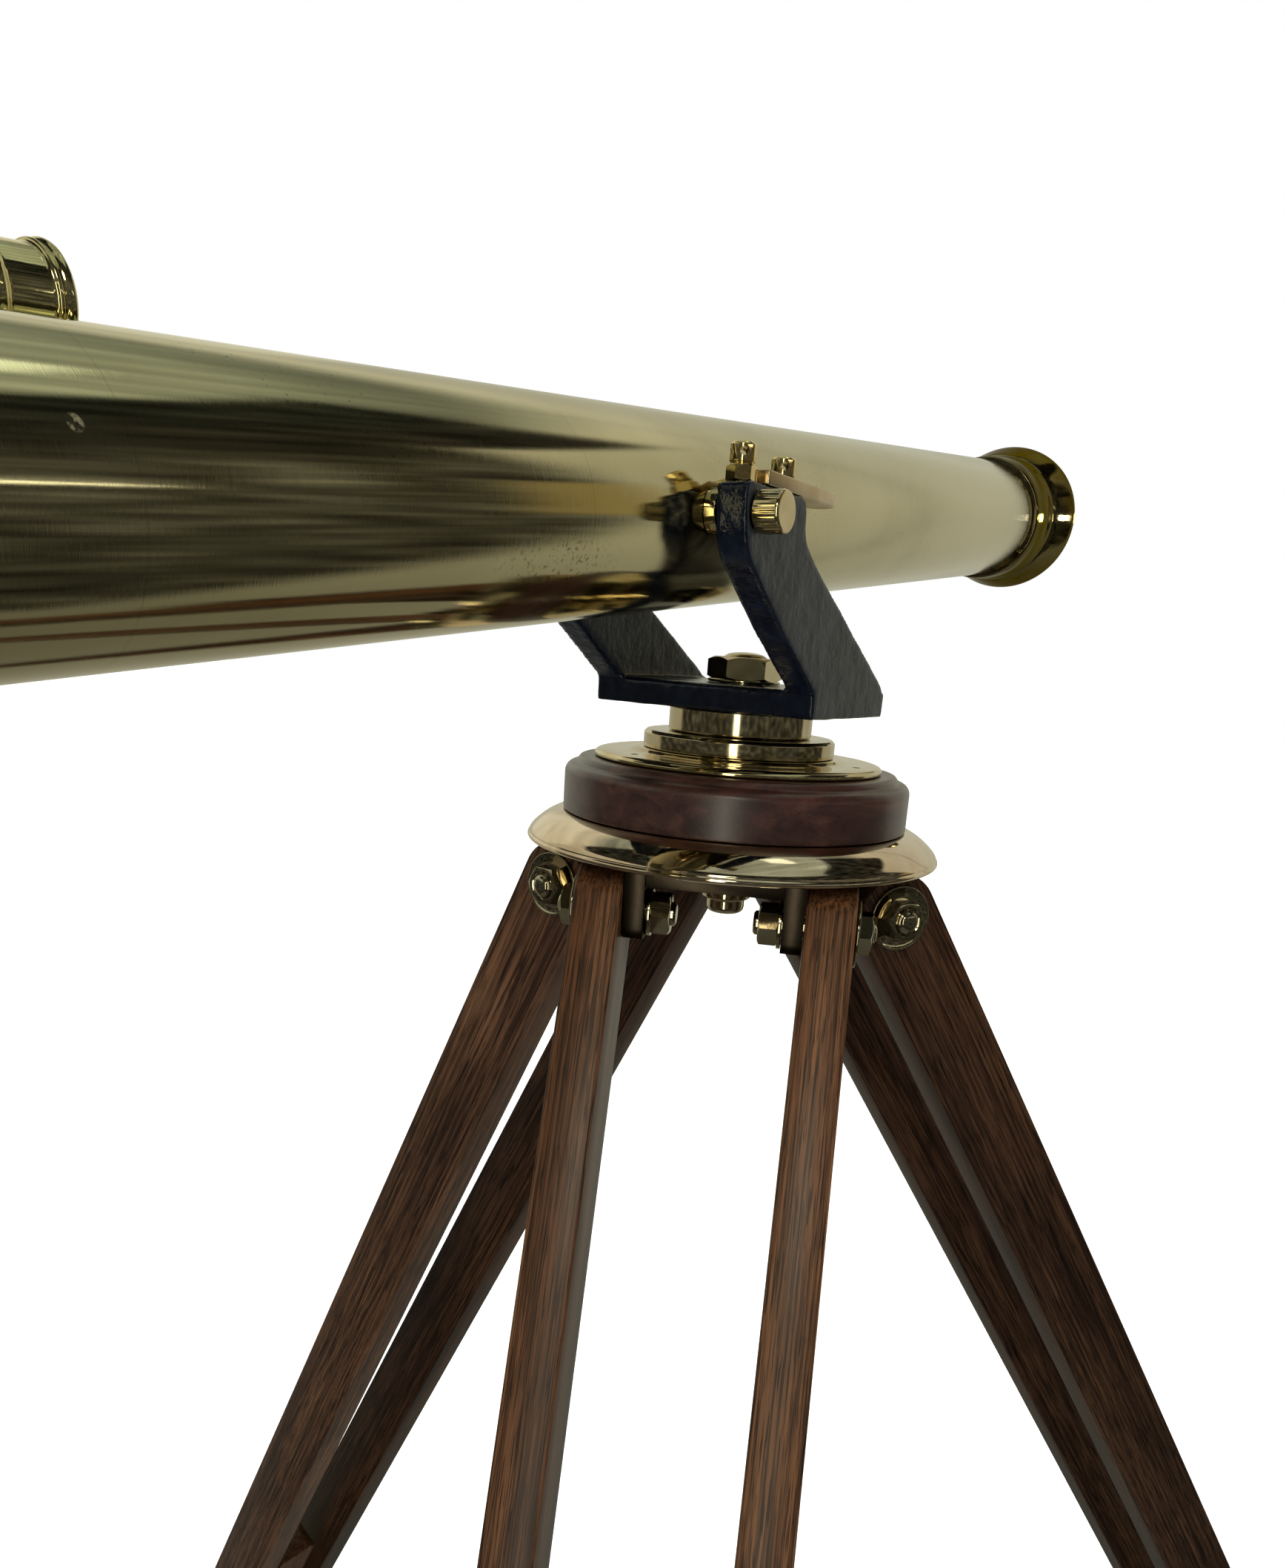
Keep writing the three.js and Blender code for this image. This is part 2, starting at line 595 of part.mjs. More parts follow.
// brass casting that ties the lower ends of the bars, with a middle window for the slider
function makeClamp(leaning, name) {
  const [low, high] = [-BAR.length + 12, -BAR.length + 52];
  const middle = BAR.offset - BAR.length * Math.tan(BAR.taper);
  const reach = middle + BAR.thickness / 2 + 1;
  const depth = BAR.width / 2 + GAP;
  const windows = [
    block([-SLIDER.thickness / 2 - GAP, -SLIDER.width / 2 - GAP, low - 5],
      [SLIDER.thickness / 2 + GAP, SLIDER.width / 2 + GAP, high + 5]),
  ];
  for (const side of [-1, 1]) {
    const [inner, outer] = [side * (middle - BAR.thickness / 2 - GAP), side * reach];
    windows.push(block(
      [-depth, Math.min(inner, outer), low - 5],
      [depth, Math.max(inner, outer), high + 5],
    ));
  }
  const boss = rod(9, depth + 1, depth + 11, 'x').translate(0, 0, (low + high) / 2);
  const bore = rod(5.3, 5, depth + 20, 'x').translate(0, 0, (low + high) / 2);
  let body = union(block([-depth - 3, -reach - 3, low], [depth + 3, reach + 3, high]), boss);
  for (const cut of [...windows, bore]) {
    body = body.subtract(toSolid(cut));
  }
  piece(leaning, name, body, polishedBrass);
}

// thumb screw that presses the slider
function makeThumbScrew(leaning, name) {
  const start = SLIDER.thickness / 2 + GAP;
  const depth = BAR.width / 2 + GAP;
  const knob = turned([
    [start, 0], [start, 5], [depth + 11.4, 5], [depth + 11.4, 8], [depth + 17, 9], [depth + 19, 15],
    [depth + 21, 16.5], [depth + 30, 16.5], [depth + 32.5, 15], [depth + 33.5, 0],
  ], 'x', 16);
  knob.translate(0, 0, -BAR.length + 32);
  piece(leaning, name, knob, polishedBrass);
}

function makeSlider(leaning, leg, total) {
  const [halfX, halfY] = [SLIDER.thickness / 2, SLIDER.width / 2];
  const bottom = -total + FOOT_LENGTH;
  const top = bottom + SLIDER.length;
  const shape = rounded([
    [-halfY, bottom, 0.5], [halfY, bottom, 0.5], [halfY, top - 8, 2], [halfY - 8, top, 2],
    [8 - halfY, top, 2], [-halfY, top - 8, 2],
  ]);
  const bar = slab(shape, -halfX, halfX, 2);
  bar.rotateZ(Math.PI / 2);
  piece(leaning, `leg_slider_${leg.name}`, bar, oakStain);
  return bottom;
}

// brass shoe round the slider's end, its sole cut level with the floor
function makeFoot(leaning, leg, bottom, lean) {
  const [x, y] = [SLIDER.thickness / 2 + GAP, SLIDER.width / 2 + GAP];
  const socket = block([-x - 2.5, -y - 2.5, bottom - 10], [x + 2.5, y + 2.5, bottom + 42]);
  const pocket = block([-x, -y, bottom - GAP], [x, y, bottom + 60]);
  const toe = turned([
    [bottom - 9, 0], [bottom - 9, 15], [bottom - 22, 13.5], [bottom - 30, 17], [bottom - 90, 17],
    [bottom - 90, 0],
  ], 'z', 16);
  const shoe = union(socket, toe).subtract(toSolid(pocket));
  const ground = block([-200, -200, -200], [200, 200, 0]);
  ground.rotateY(lean);
  ground.translate(0, 0, bottom - FOOT_LENGTH);
  piece(leaning, `leg_foot_${leg.name}`, shoe.subtract(toSolid(ground)), polishedBrass);
}

function makeLeg(leg) {
  const lean = THREE.MathUtils.degToRad(leg.lean);
  const turn = new THREE.Group();
  turn.rotation.z = THREE.MathUtils.degToRad(leg.azimuth);
  turn.position.z = RIM_HEIGHT + HINGE_Z;
  telescope.add(turn);
  const hinge = new THREE.Group();
  hinge.position.x = HINGE_RADIUS;
  turn.add(hinge);
  const leaning = new THREE.Group();
  leaning.rotation.y = -lean;
  hinge.add(leaning);
  const total = (RIM_HEIGHT + HINGE_Z) / Math.cos(lean);
  for (const [word, side] of [['a', -1], ['b', 1]]) {
    makeHingeBolt(hinge, `hinge_bolt_${leg.name}_${word}`, side);
    makeBar(leaning, `leg_bar_${leg.name}_${word}`, side);
  }
  makeClamp(leaning, `leg_clamp_${leg.name}`);
  makeThumbScrew(leaning, `clamp_knob_${leg.name}`);
  const bottom = makeSlider(leaning, leg, total);
  makeFoot(leaning, leg, bottom, lean);
}

// ---- assembly -----------------------------------------------------------------------------
makeTube();
makeObjective();
makeTrunnion('trunnion_near', -1);
makeTrunnion('trunnion_far', 1);
makeFocuserBody();
makeDrawTube();
makeRack();
makePinion();
makeFocusKnob();
makeEyepiece();
makeFinder();
makeFinderBracket('finder_bracket_front', -270);
makeFinderBracket('finder_bracket_rear', -400);
makeYoke();
for (const [word, side] of [['near', -1], ['far', 1]]) {
  makeClampScrew(`clamp_screw_${word}_rear`, REAR_SCREW_X, side * SCREW_Y, 162);
  makeClampScrew(`clamp_screw_${word}_front`, FRONT_SCREW_X, side * SCREW_Y, 160);
  makeKeeper(`keeper_bar_${word}`, side);
}
makeHead();
makePivot();
makeSpider();
LEGS.forEach(makeLeg);

// the origin is the middle of the base of the whole instrument
const box = new THREE.Box3().setFromObject(telescope, true);
const middle = box.getCenter(new THREE.Vector3());
telescope.position.set(-middle.x, -middle.y, -box.min.z);

export default telescope;
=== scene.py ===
"""Looks of the brass telescope: finely turned brass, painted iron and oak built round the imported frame."""

import json
import math

import bmesh
import bpy
from mathutils import Matrix, Vector


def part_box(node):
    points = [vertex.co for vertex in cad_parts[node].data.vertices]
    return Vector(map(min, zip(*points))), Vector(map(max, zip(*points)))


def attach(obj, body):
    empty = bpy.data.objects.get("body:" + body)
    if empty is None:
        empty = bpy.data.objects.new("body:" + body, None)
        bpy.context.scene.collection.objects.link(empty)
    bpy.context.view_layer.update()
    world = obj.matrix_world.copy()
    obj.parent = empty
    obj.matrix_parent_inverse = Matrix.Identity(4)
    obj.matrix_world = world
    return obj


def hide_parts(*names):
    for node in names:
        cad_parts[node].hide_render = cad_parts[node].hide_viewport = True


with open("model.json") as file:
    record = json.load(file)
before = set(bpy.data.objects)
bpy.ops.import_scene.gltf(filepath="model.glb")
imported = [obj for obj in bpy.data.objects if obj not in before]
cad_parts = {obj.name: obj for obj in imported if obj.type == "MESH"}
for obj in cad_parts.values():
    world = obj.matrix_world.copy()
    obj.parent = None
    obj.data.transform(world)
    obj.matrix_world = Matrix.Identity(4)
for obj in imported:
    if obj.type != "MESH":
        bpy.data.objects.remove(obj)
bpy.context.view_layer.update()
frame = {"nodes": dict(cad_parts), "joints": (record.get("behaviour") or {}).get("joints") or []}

MM = 0.001
TURN = 2 * math.pi

# ---- places -------------------------------------------------------------------------------
JOINTS = {joint["name"]: joint for joint in frame["joints"]}
TUBE_PITCH = math.radians(6.8)
FINDER_ROLL = math.radians(-41.3)
FINDER_OFFSET = 70.9
RIM_ABOVE_HINGE = 27.1


def head_place():
    low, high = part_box("head_plate")
    rim = JOINTS["leg_front_hinge"]["pos_m"][2] + RIM_ABOVE_HINGE * MM
    return Matrix.Translation(((low.x + high.x) / 2, (low.y + high.y) / 2, rim))


HEAD = head_place()
TUBE = Matrix.Translation(JOINTS["altitude"]["pos_m"]) @ Matrix.Rotation(-TUBE_PITCH, 4, "Y")
FINDER = (
    TUBE
    @ Matrix.Rotation(FINDER_ROLL, 4, "X")
    @ Matrix.Translation((0, 0, FINDER_OFFSET * MM))
)
PINION = (-507, 0, -30.4)


def leg_places(name):
    """The upright frame at a leg's hinge and the same frame leaning with the leg."""
    hinge = JOINTS[f"leg_{name}_hinge"]
    along = JOINTS[f"leg_{name}_slide"]["axis"]
    turn = math.atan2(hinge["axis"][0], -hinge["axis"][1])
    upright = Matrix.Translation(hinge["pos_m"]) @ Matrix.Rotation(turn, 4, "Z")
    return upright, upright @ Matrix.Rotation(-math.acos(-along[2]), 4, "Y")


# ---- material nodes -----------------------------------------------------------------------
class Nodes:
    """Short ways to add and link the nodes of a tree."""

    def __init__(self, tree):
        self.tree = tree

    def node(self, kind, **settings):
        made = self.tree.nodes.new(kind)
        for key, value in settings.items():
            setattr(made, key, value)
        return made

    def plug(self, source, target):
        self.tree.links.new(source, target)

    def put(self, value, socket):
        """Link an output or set a plain value."""
        if isinstance(value, bpy.types.NodeSocket):
            self.plug(value, socket)
        else:
            socket.default_value = (*value, 1) if isinstance(value, tuple) else value

    def split(self, vector):
        made = self.node("ShaderNodeSeparateXYZ")
        self.plug(vector, made.inputs[0])
        return made.outputs

    def noise(self, scale, detail=3.0, rough=0.5, distortion=0.0, vector=None):
        made = self.node("ShaderNodeTexNoise")
        made.inputs["Scale"].default_value = scale
        made.inputs["Detail"].default_value = detail
        made.inputs["Roughness"].default_value = rough
        made.inputs["Distortion"].default_value = distortion
        self.plug(self.place if vector is None else vector, made.inputs["Vector"])
        return made.outputs["Fac"]

    def ramp(self, factor, *stops):
        made = self.node("ShaderNodeValToRGB")
        elements = made.color_ramp.elements
        while len(elements) < len(stops):
            elements.new(0.5)
        for element, (position, color) in zip(elements, stops):
            element.position = position
            level = color if isinstance(color, tuple) else (color, color, color)
            element.color = (*level, 1)
        self.plug(factor, made.inputs["Fac"])
        return made.outputs["Color"]

    def mix(self, factor, first, second, blend="MIX"):
        made = self.node("ShaderNodeMix", data_type="RGBA", blend_type=blend)
        for socket, value in zip((0, 6, 7), (factor, first, second)):
            self.put(value, made.inputs[socket])
        return made.outputs[2]

    def math(self, operation, first, second=0.0):
        made = self.node("ShaderNodeMath", operation=operation)
        self.put(first, made.inputs[0])
        self.put(second, made.inputs[1])
        return made.outputs["Value"]


class Shader(Nodes):
    """One material; its textures follow the object's own axes."""

    def __init__(self, name):
        self.material = bpy.data.materials.new(name)
        self.material.use_nodes = True
        super().__init__(self.material.node_tree)
        self.surface = self.tree.nodes["Principled BSDF"]
        self.place = self.node("ShaderNodeTexCoord").outputs["Object"]

    def stretched(self, scale, turn=(0, 0, 0)):
        mapping = self.node("ShaderNodeMapping")
        mapping.inputs["Scale"].default_value = scale
        mapping.inputs["Rotation"].default_value = turn
        self.plug(self.place, mapping.inputs["Vector"])
        return mapping.outputs["Vector"]

    def range(self, value, low, high):
        made = self.node("ShaderNodeMapRange")
        made.inputs["To Min"].default_value = low
        made.inputs["To Max"].default_value = high
        self.plug(value, made.inputs["Value"])
        return made.outputs["Result"]

    def patch(self, centre, reach):
        """1 at centre, falling to 0 at reach, both in millimetres along the object's axes."""
        mapping = self.node("ShaderNodeMapping", vector_type="TEXTURE")
        mapping.inputs["Location"].default_value = [value * MM for value in centre]
        mapping.inputs["Scale"].default_value = [value * MM for value in reach]
        self.plug(self.place, mapping.inputs["Vector"])
        made = self.node("ShaderNodeTexGradient", gradient_type="SPHERICAL")
        self.plug(mapping.outputs["Vector"], made.inputs["Vector"])
        return made.outputs["Fac"]

    def bump(self, height, distance, strength=1.0, below=None):
        made = self.node("ShaderNodeBump")
        made.inputs["Strength"].default_value = strength
        made.inputs["Distance"].default_value = distance
        self.plug(height, made.inputs["Height"])
        if below is not None:
            self.plug(below, made.inputs["Normal"])
        return made.outputs["Normal"]

    def finish(self, color, roughness, normal=None, **fixed):
        self.put(color, self.surface.inputs["Base Color"])
        self.put(roughness, self.surface.inputs["Roughness"])
        if normal is not None:
            self.plug(normal, self.surface.inputs["Normal"])
        for key, value in fixed.items():
            self.surface.inputs[key.replace("_", " ")].default_value = value
        return self.material


# wear on the tube, in millimetres from the trunnions: faint rings, then a pitted patch and a bright scuff,
# each given by its centre and its reach
TUBE_MARKS = (-83.0, -256.0)
MARK_HALF_WIDTH = 0.4
PITTED_PATCH = ((-98, -37, -17), (42, 24, 13))
SCUFF_PATCH = ((-268, -38.4, 15.7), (3.2, 4, 3.4))


def tube_brass(name, marks=(), worn=False):
    """Old lacquered sheet brass: fine scratches round the tube, tarnish and specks; marks are faint rings."""
    made = Shader(name)
    scratches = made.noise(1.0, 4.0, 0.7, vector=made.stretched((2600, 14, 14)))
    wipes = made.noise(1.0, 3.0, 0.6, vector=made.stretched((26, 320, 320)))
    clouds = made.noise(9.0, 5.0, 0.55, 0.6)
    color = made.ramp(
        clouds,
        (0.3, (0.49, 0.43, 0.255)),
        (0.52, (0.56, 0.5, 0.3)),
        (0.75, (0.6, 0.54, 0.34)),
    )
    specks = made.ramp(made.noise(900.0, 1.0), (0.70, 0.0), (0.74, 1.0))
    patches = made.ramp(made.noise(13.0, 2.0), (0.55, 0.0), (0.62, 0.6))
    color = made.mix(made.math("MULTIPLY", specks, patches), color, (0.12, 0.095, 0.05))
    roughness = made.math("ADD", made.range(scratches, 0.02, 0.1), made.range(clouds, -0.01, 0.035))
    axial = made.split(made.place)["X"]
    for position in marks:
        away = made.math("ABSOLUTE", made.math("SUBTRACT", axial, position * MM))
        line = made.math("LESS_THAN", away, MARK_HALF_WIDTH * MM)
        color = made.mix(made.math("MULTIPLY", line, 0.1), color, (0.2, 0.16, 0.09))
    if worn:
        pitted = made.ramp(made.patch(*PITTED_PATCH), (0.05, 0.0), (0.6, 1.0))
        dots = made.ramp(made.noise(620.0, 1.0), (0.6, 0.0), (0.66, 1.0))
        color = made.mix(made.math("MULTIPLY", pitted, dots), color, (0.3, 0.26, 0.15))
        scuff = made.ramp(made.patch(*SCUFF_PATCH), (0.3, 0.0), (0.5, 1.0))
        broken = made.ramp(made.noise(330.0, 3.0, 0.7), (0.4, 0.0), (0.55, 1.0))
        scuff = made.math("MULTIPLY", scuff, broken)
        color = made.mix(scuff, color, (0.95, 0.84, 0.6))
        roughness = made.math("ADD", roughness, made.math("MULTIPLY", scuff, 0.5))
    normal = made.bump(scratches, 0.00002, 0.5, made.bump(wipes, 0.00004, 0.2))
    return made.finish(color, roughness, normal, Metallic=1.0)


def polished_brass(name, color=(0.66, 0.56, 0.34), dull=0.0, edge=(1.0, 1.0, 1.0)):
    """Polished brass with soft clouds and hair scratches; edge tints what it mirrors at a low angle."""
    made = Shader(name)
    clouds = made.noise(38.0, 4.0, 0.55, 0.4)
    darker = tuple(channel * shade for channel, shade in zip(color, (0.78, 0.72, 0.62)))
    tint = made.ramp(clouds, (0.32, darker), (0.6, color))
    hair = made.noise(420.0, 4.0, 0.75)
    roughness = made.range(made.noise(160.0, 3.0), 0.03 + dull, 0.1 + dull)
    normal = made.bump(hair, 0.00002, 0.3, made.bump(clouds, 0.0005, 0.18))
    return made.finish(tint, roughness, normal, Metallic=1.0, Specular_Tint=(*edge, 1))


def iron_paint(name):
    """Thick blue-black gloss over rough cast iron; the broad faces are a lighter grey, partly thin paint on
    the smoothed faces and partly a painted sheen.
    """
    made = Shader(name)
    casting = made.noise(75.0, 4.0, 0.6)
    streaks = made.noise(1.0, 4.0, 0.65, vector=made.stretched((230, 60, 22), (0, 0.5, 0)))
    runs = made.noise(170.0, 3.0, 0.6)
    facing = made.split(made.node("ShaderNodeTexCoord").outputs["Normal"])["Y"]
    # the broad faces' lighter grey is partly thin paint and partly a painted sheen
    broad = made.ramp(made.math("ABSOLUTE", facing), (0.8, 0.0), (0.96, 1.0))
    gloss = made.ramp(runs, (0.35, (0.0014, 0.0024, 0.0058)), (0.7, (0.0035, 0.006, 0.013)))
    broad_paint_and_sheen = made.ramp(streaks, (0.3, (0.008, 0.0095, 0.012)), (0.62, (0.02, 0.023, 0.027)))
    color = made.mix(broad, gloss, broad_paint_and_sheen)
    roughness = made.math("ADD", made.range(runs, 0.1, 0.24), made.math("MULTIPLY", broad, 0.24))
    normal = made.bump(streaks, 0.0003, 0.5, made.bump(runs, 0.0008, 0.7))
    normal = made.bump(casting, 0.0012, 0.6, normal)
    return made.finish(color, roughness, normal, Specular_IOR_Level=0.38)


def oak(name, seed, tone):
    """Stained and varnished oak, darker for a lower tone; the grain runs along the local Z axis."""
    made = Shader(name)
    shift = made.node("ShaderNodeMapping")
    shift.inputs["Location"].default_value = (0.31 * seed, 0.17 * seed, 0.73 * seed)
    made.plug(made.place, shift.inputs["Vector"])
    made.place = shift.outputs["Vector"]
    figure = made.noise(1.0, 4.0, 0.6, 1.1, vector=made.stretched((85, 60, 2.6)))
    fibre = made.noise(1.0, 3.0, 0.7, vector=made.stretched((620, 620, 9)))
    pores = made.noise(1.0, 2.0, 0.6, vector=made.stretched((1500, 1500, 34)))
    stain = made.noise(1.0, 2.0, 0.5, vector=made.stretched((9, 9, 5)))
    color = made.ramp(
        figure,
        (0.28, (0.046, 0.0185, 0.0085)),
        (0.45, (0.078, 0.0325, 0.0145)),
        (0.58, (0.104, 0.045, 0.0195)),
        (0.74, (0.145, 0.066, 0.029)),
    )
    color = made.mix(0.85, color, made.ramp(fibre, (0.38, 0.3), (0.6, 1.6)), "MULTIPLY")
    color = made.mix(0.75, color, made.ramp(stain, (0.3, 0.68), (0.66, 1.2)), "MULTIPLY")
    open_pores = made.ramp(pores, (0.54, 0.0), (0.58, 1.0))
    color = made.mix(made.math("MULTIPLY", open_pores, 0.85), color, (0.012, 0.005, 0.003))
    color = made.mix(1.0, color, (tone, tone * 0.97, tone * 0.88), "MULTIPLY")
    roughness = made.range(fibre, 0.3, 0.46)
    normal = made.bump(open_pores, 0.00025, -0.6, made.bump(fibre, 0.0003, 0.35))
    varnish = {"Specular_IOR_Level": 0.1 + 0.16 * tone, "Coat_Weight": 0.12 * tone, "Coat_Roughness": 0.2}
    return made.finish(color, roughness, normal, **varnish)


LEG_SEEDS = {name: 3.1 + 2.7 * order for order, name in enumerate(("front", "right", "left"))}
# how pale each leg's bars a and b and its slider are: 1 is the palest stain
TONES = {"front": (1.0, 0.95, 0.8), "right": (0.34, 0.34, 0.5), "left": (0.36, 0.7, 0.55)}


def disc_wood(name):
    """Dark red-brown turned disc; the grain runs across it."""
    made = Shader(name)
    figure = made.noise(1.0, 4.0, 0.6, 0.8, vector=made.stretched((7, 60, 95)))
    pores = made.noise(1.0, 2.0, 0.6, vector=made.stretched((40, 900, 1100)))
    color = made.ramp(
        figure,
        (0.3, (0.018, 0.0065, 0.0055)),
        (0.5, (0.036, 0.0125, 0.0095)),
        (0.7, (0.064, 0.023, 0.015)),
    )
    open_pores = made.ramp(pores, (0.55, 0.0), (0.65, 1.0))
    color = made.mix(made.math("MULTIPLY", open_pores, 0.5), color, (0.012, 0.004, 0.004))
    roughness = made.range(made.noise(55.0, 3.0), 0.26, 0.42)
    normal = made.bump(pores, 0.0002, 0.3, made.bump(made.noise(240.0, 3.0), 0.0002, 0.3))
    return made.finish(color, roughness, normal, Coat_Weight=0.32, Coat_Roughness=0.24)


def lens_glass(name):
    """Clear crown glass with a little dust."""
    made = Shader(name)
    dust = made.noise(220.0, 3.0, 0.6)
    roughness = made.range(dust, 0.0, 0.04)
    return made.finish((0.93, 0.97, 0.95), roughness, Transmission_Weight=1.0, IOR=1.52)


MATERIALS = {
    "tube": tube_brass("tube_brass", TUBE_MARKS, worn=True),
    "finder": tube_brass("finder_brass"),
    "finder_cell": polished_brass("finder_cell_brass", (0.78, 0.71, 0.4)),
    "polished": polished_brass("polished_brass"),
    "pink": polished_brass("worn_brass", (0.74, 0.62, 0.45), 0.22),
    "machined": polished_brass("machined_brass", (0.58, 0.5, 0.33), 0.03),
    "bronze": polished_brass("lug_brass", (0.036, 0.028, 0.021), 0.2, (0.4, 0.37, 0.33)),
    "flange": polished_brass("flange_brass", (0.74, 0.61, 0.45), -0.01),
    "cell": polished_brass("cell_brass", (0.2, 0.17, 0.095), 0.0, (0.4, 0.37, 0.28)),
    "bolt": polished_brass("bolt_brass", (0.42, 0.375, 0.27)),
    "gold": polished_brass("screw_brass", (0.8, 0.63, 0.3)),
    "iron": iron_paint("iron_paint"),
    "disc": disc_wood("disc_wood"),
    "glass": lens_glass("lens_glass"),
}


# ---- meshes -------------------------------------------------------------------------------
def softened(points, radius, closed, steps=4):
    """Profile with each corner rounded: tight at sharp corners, wide where the line barely bends."""
    rounded = []
    count = len(points)
    for i, point in enumerate(points):
        here = Vector(point)
        if not closed and i in (0, count - 1):
            rounded.append(tuple(here))
            continue
        before = Vector(points[i - 1]) - here
        after = Vector(points[(i + 1) % count]) - here
        bend = math.pi - before.angle(after)
        room = 0.48 * min(before.length, after.length)
        reach = room if bend < math.radians(35) else min(radius, room)
        for step in range(steps + 1):
            t = step / steps
            start = here + before.normalized() * reach * (1 - t)
            end = here + after.normalized() * reach * t
            rounded.append(tuple(start * (1 - t) + end * t))
    return rounded


AXES = {
    "x": lambda h, c, s: (h, c, s),
    "y": lambda h, c, s: (s, h, c),
    "z": lambda h, c, s: (c, s, h),
}


def spun(rings, axis, sides, closed):
    """Surface through rings; a ring is a function of the angle giving (height, radius)."""
    lay = AXES[axis]
    verts, faces, rows = [], [], []
    for ring in rings:
        height, radius = ring(0.0)
        if radius < 1e-6:
            rows.append([len(verts)] * sides)
            verts.append(lay(height * MM, 0, 0))
            continue
        rows.append(list(range(len(verts), len(verts) + sides)))
        for i in range(sides):
            angle = TURN * i / sides
            height, radius = ring(angle)
            spot = (height * MM, radius * MM * math.cos(angle), radius * MM * math.sin(angle))
            verts.append(lay(*spot))
    pairs = list(zip(rows, rows[1:])) + ([(rows[-1], rows[0])] if closed else [])
    for first, second in pairs:
        for i in range(sides):
            j = (i + 1) % sides
            corners = [first[i], first[j], second[j], second[i]]
            unique = list(dict.fromkeys(corners))
            if len(unique) > 2:
                faces.append(unique)
    return to_mesh(verts, faces)


def to_mesh(verts, faces):
    mesh = bpy.data.meshes.new("built")
    mesh.from_pydata(verts, [], faces)
    cleaned = bmesh.new()
    cleaned.from_mesh(mesh)
    bmesh.ops.recalc_face_normals(cleaned, faces=cleaned.faces)
    cleaned.to_mesh(mesh)
    cleaned.free()
    return mesh


def turned(profile, axis="x", sides=112, corner=0.5, closed=True, knurl=None):
    """Turned mesh through (height, radius) points in millimetres.

    A knurl is (lowest height, highest height, teeth, depth) and the radius above which it cuts.
    """
    low, high, teeth, depth, inner = knurl or (0, -1, 0, 0, 0)

    def ring(height, radius):
        cut = depth if low <= height <= high and radius > inner else 0.0
        return lambda angle: (height, radius - cut * (0.5 - 0.5 * math.cos(angle * teeth)))

    rings = [ring(*point) for point in softened(profile, corner, closed)]
    return spun(rings, axis, sides, closed)


# round chamfers of a nut: its end faces' radius as a share of its flats', and the chamfer's slope in degrees
NUT_RIM, NUT_SLOPE = 0.955, 28


def nut(across, low, high, axis="z", sides=96):
    """Solid hexagon with the round chamfers of a real nut."""
    flat = across / 2
    rim = flat * NUT_RIM

    def hexed(angle):
        return flat / math.cos((angle + TURN / 12) % (TURN / 6) - TURN / 12)

    drop = math.tan(math.radians(NUT_SLOPE))
    rings = [
        lambda angle: (low, 0.0),
        lambda angle: (low, rim),
        lambda angle: (low + (hexed(angle) - rim) * drop, hexed(angle)),
        lambda angle: (high - (hexed(angle) - rim) * drop, hexed(angle)),
        lambda angle: (high, rim),
        lambda angle: (high, 0.0),
    ]
    return spun(rings, axis, sides, False)


def prism(outline, low, high, axis="y"):
    """Outline of (first, second) points in millimetres, thick along the axis."""
    lay = {"y": lambda p, t: (p[0], t, p[1]), "z": lambda p, t: (p[0], p[1], t)}[axis]
    count = len(outline)
    verts = [tuple(v * MM for v in lay(p, t)) for t in (low, high) for p in outline]
    faces = [list(range(count)), list(range(2 * count - 1, count - 1, -1))]
    faces += [[i, (i + 1) % count, (i + 1) % count + count, i + count] for i in range(count)]
    return to_mesh(verts, faces)


def block(low, high):
    (left, front, bottom), (right, back, top) = low, high
    return prism([(left, front), (right, front), (right, back), (left, back)], bottom, top, "z")


def placed(name, data):
    """New object in the scene."""
    made = bpy.data.objects.new(name, data)
    bpy.context.scene.collection.objects.link(made)
    return made


def baked(holder):
    """Mesh of an object with its modifiers applied; the object goes."""
    bpy.context.view_layer.update()
    evaluated = holder.evaluated_get(bpy.context.evaluated_depsgraph_get())
    mesh = bpy.data.meshes.new_from_object(evaluated)
    bpy.data.objects.remove(holder)
    return mesh


def combined(operation, mesh, tools):
    for tool in tools:
        holder, other = placed("holder", mesh), placed("tool", tool)
        change = holder.modifiers.new("join", "BOOLEAN")
        change.operation = operation
        change.object = other
        change.solver = "MANIFOLD"
        mesh = baked(holder)
        bpy.data.objects.remove(other)
    return mesh


def union(mesh, *others):
    return combined("UNION", mesh, others)


def cut(mesh, *tools):
    return combined("DIFFERENCE", mesh, tools)


def moved(mesh, x=0.0, y=0.0, z=0.0):
    mesh.transform(Matrix.Translation((x * MM, y * MM, z * MM)))
    return mesh


def bevelled(mesh, width, segments=3, angle=30):
    """Mesh with its sharp edges rounded."""
    holder = placed("holder", mesh)
    edge = holder.modifiers.new("edge", "BEVEL")
    edge.width = width * MM
    edge.segments = segments
    edge.limit_method = "ANGLE"
    edge.angle_limit = math.radians(angle)
    return baked(holder)


def refined(node, width, segments=3):
    """Copy of a CAD node's mesh with its flat faces joined and its edges rounded."""
    mesh = frame["nodes"][node].data.copy()
    mesh.materials.clear()
    cleaned = bmesh.new()
    cleaned.from_mesh(mesh)
    bmesh.ops.remove_doubles(cleaned, verts=cleaned.verts, dist=1e-5)
    bmesh.ops.dissolve_limit(
        cleaned, angle_limit=math.radians(1), verts=cleaned.verts, edges=cleaned.edges
    )
    cleaned.to_mesh(mesh)
    cleaned.free()
    return bevelled(mesh, width, segments)


def piece(name, mesh, place, body, material, slot, *nodes, sharp=38):
    """Finished piece that rides its body and stands in for CAD nodes; sharp is the least hard angle."""
    made = placed(name, mesh)
    mesh.name = name
    mesh.materials.clear()
    mesh.materials.append(MATERIALS[material])
    mesh.polygons.foreach_set("use_smooth", [True] * len(mesh.polygons))
    mesh.set_sharp_from_angle(angle=math.radians(sharp))
    made.matrix_world = place
    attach(made, body)
    if nodes:
        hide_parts(*nodes)
    return made


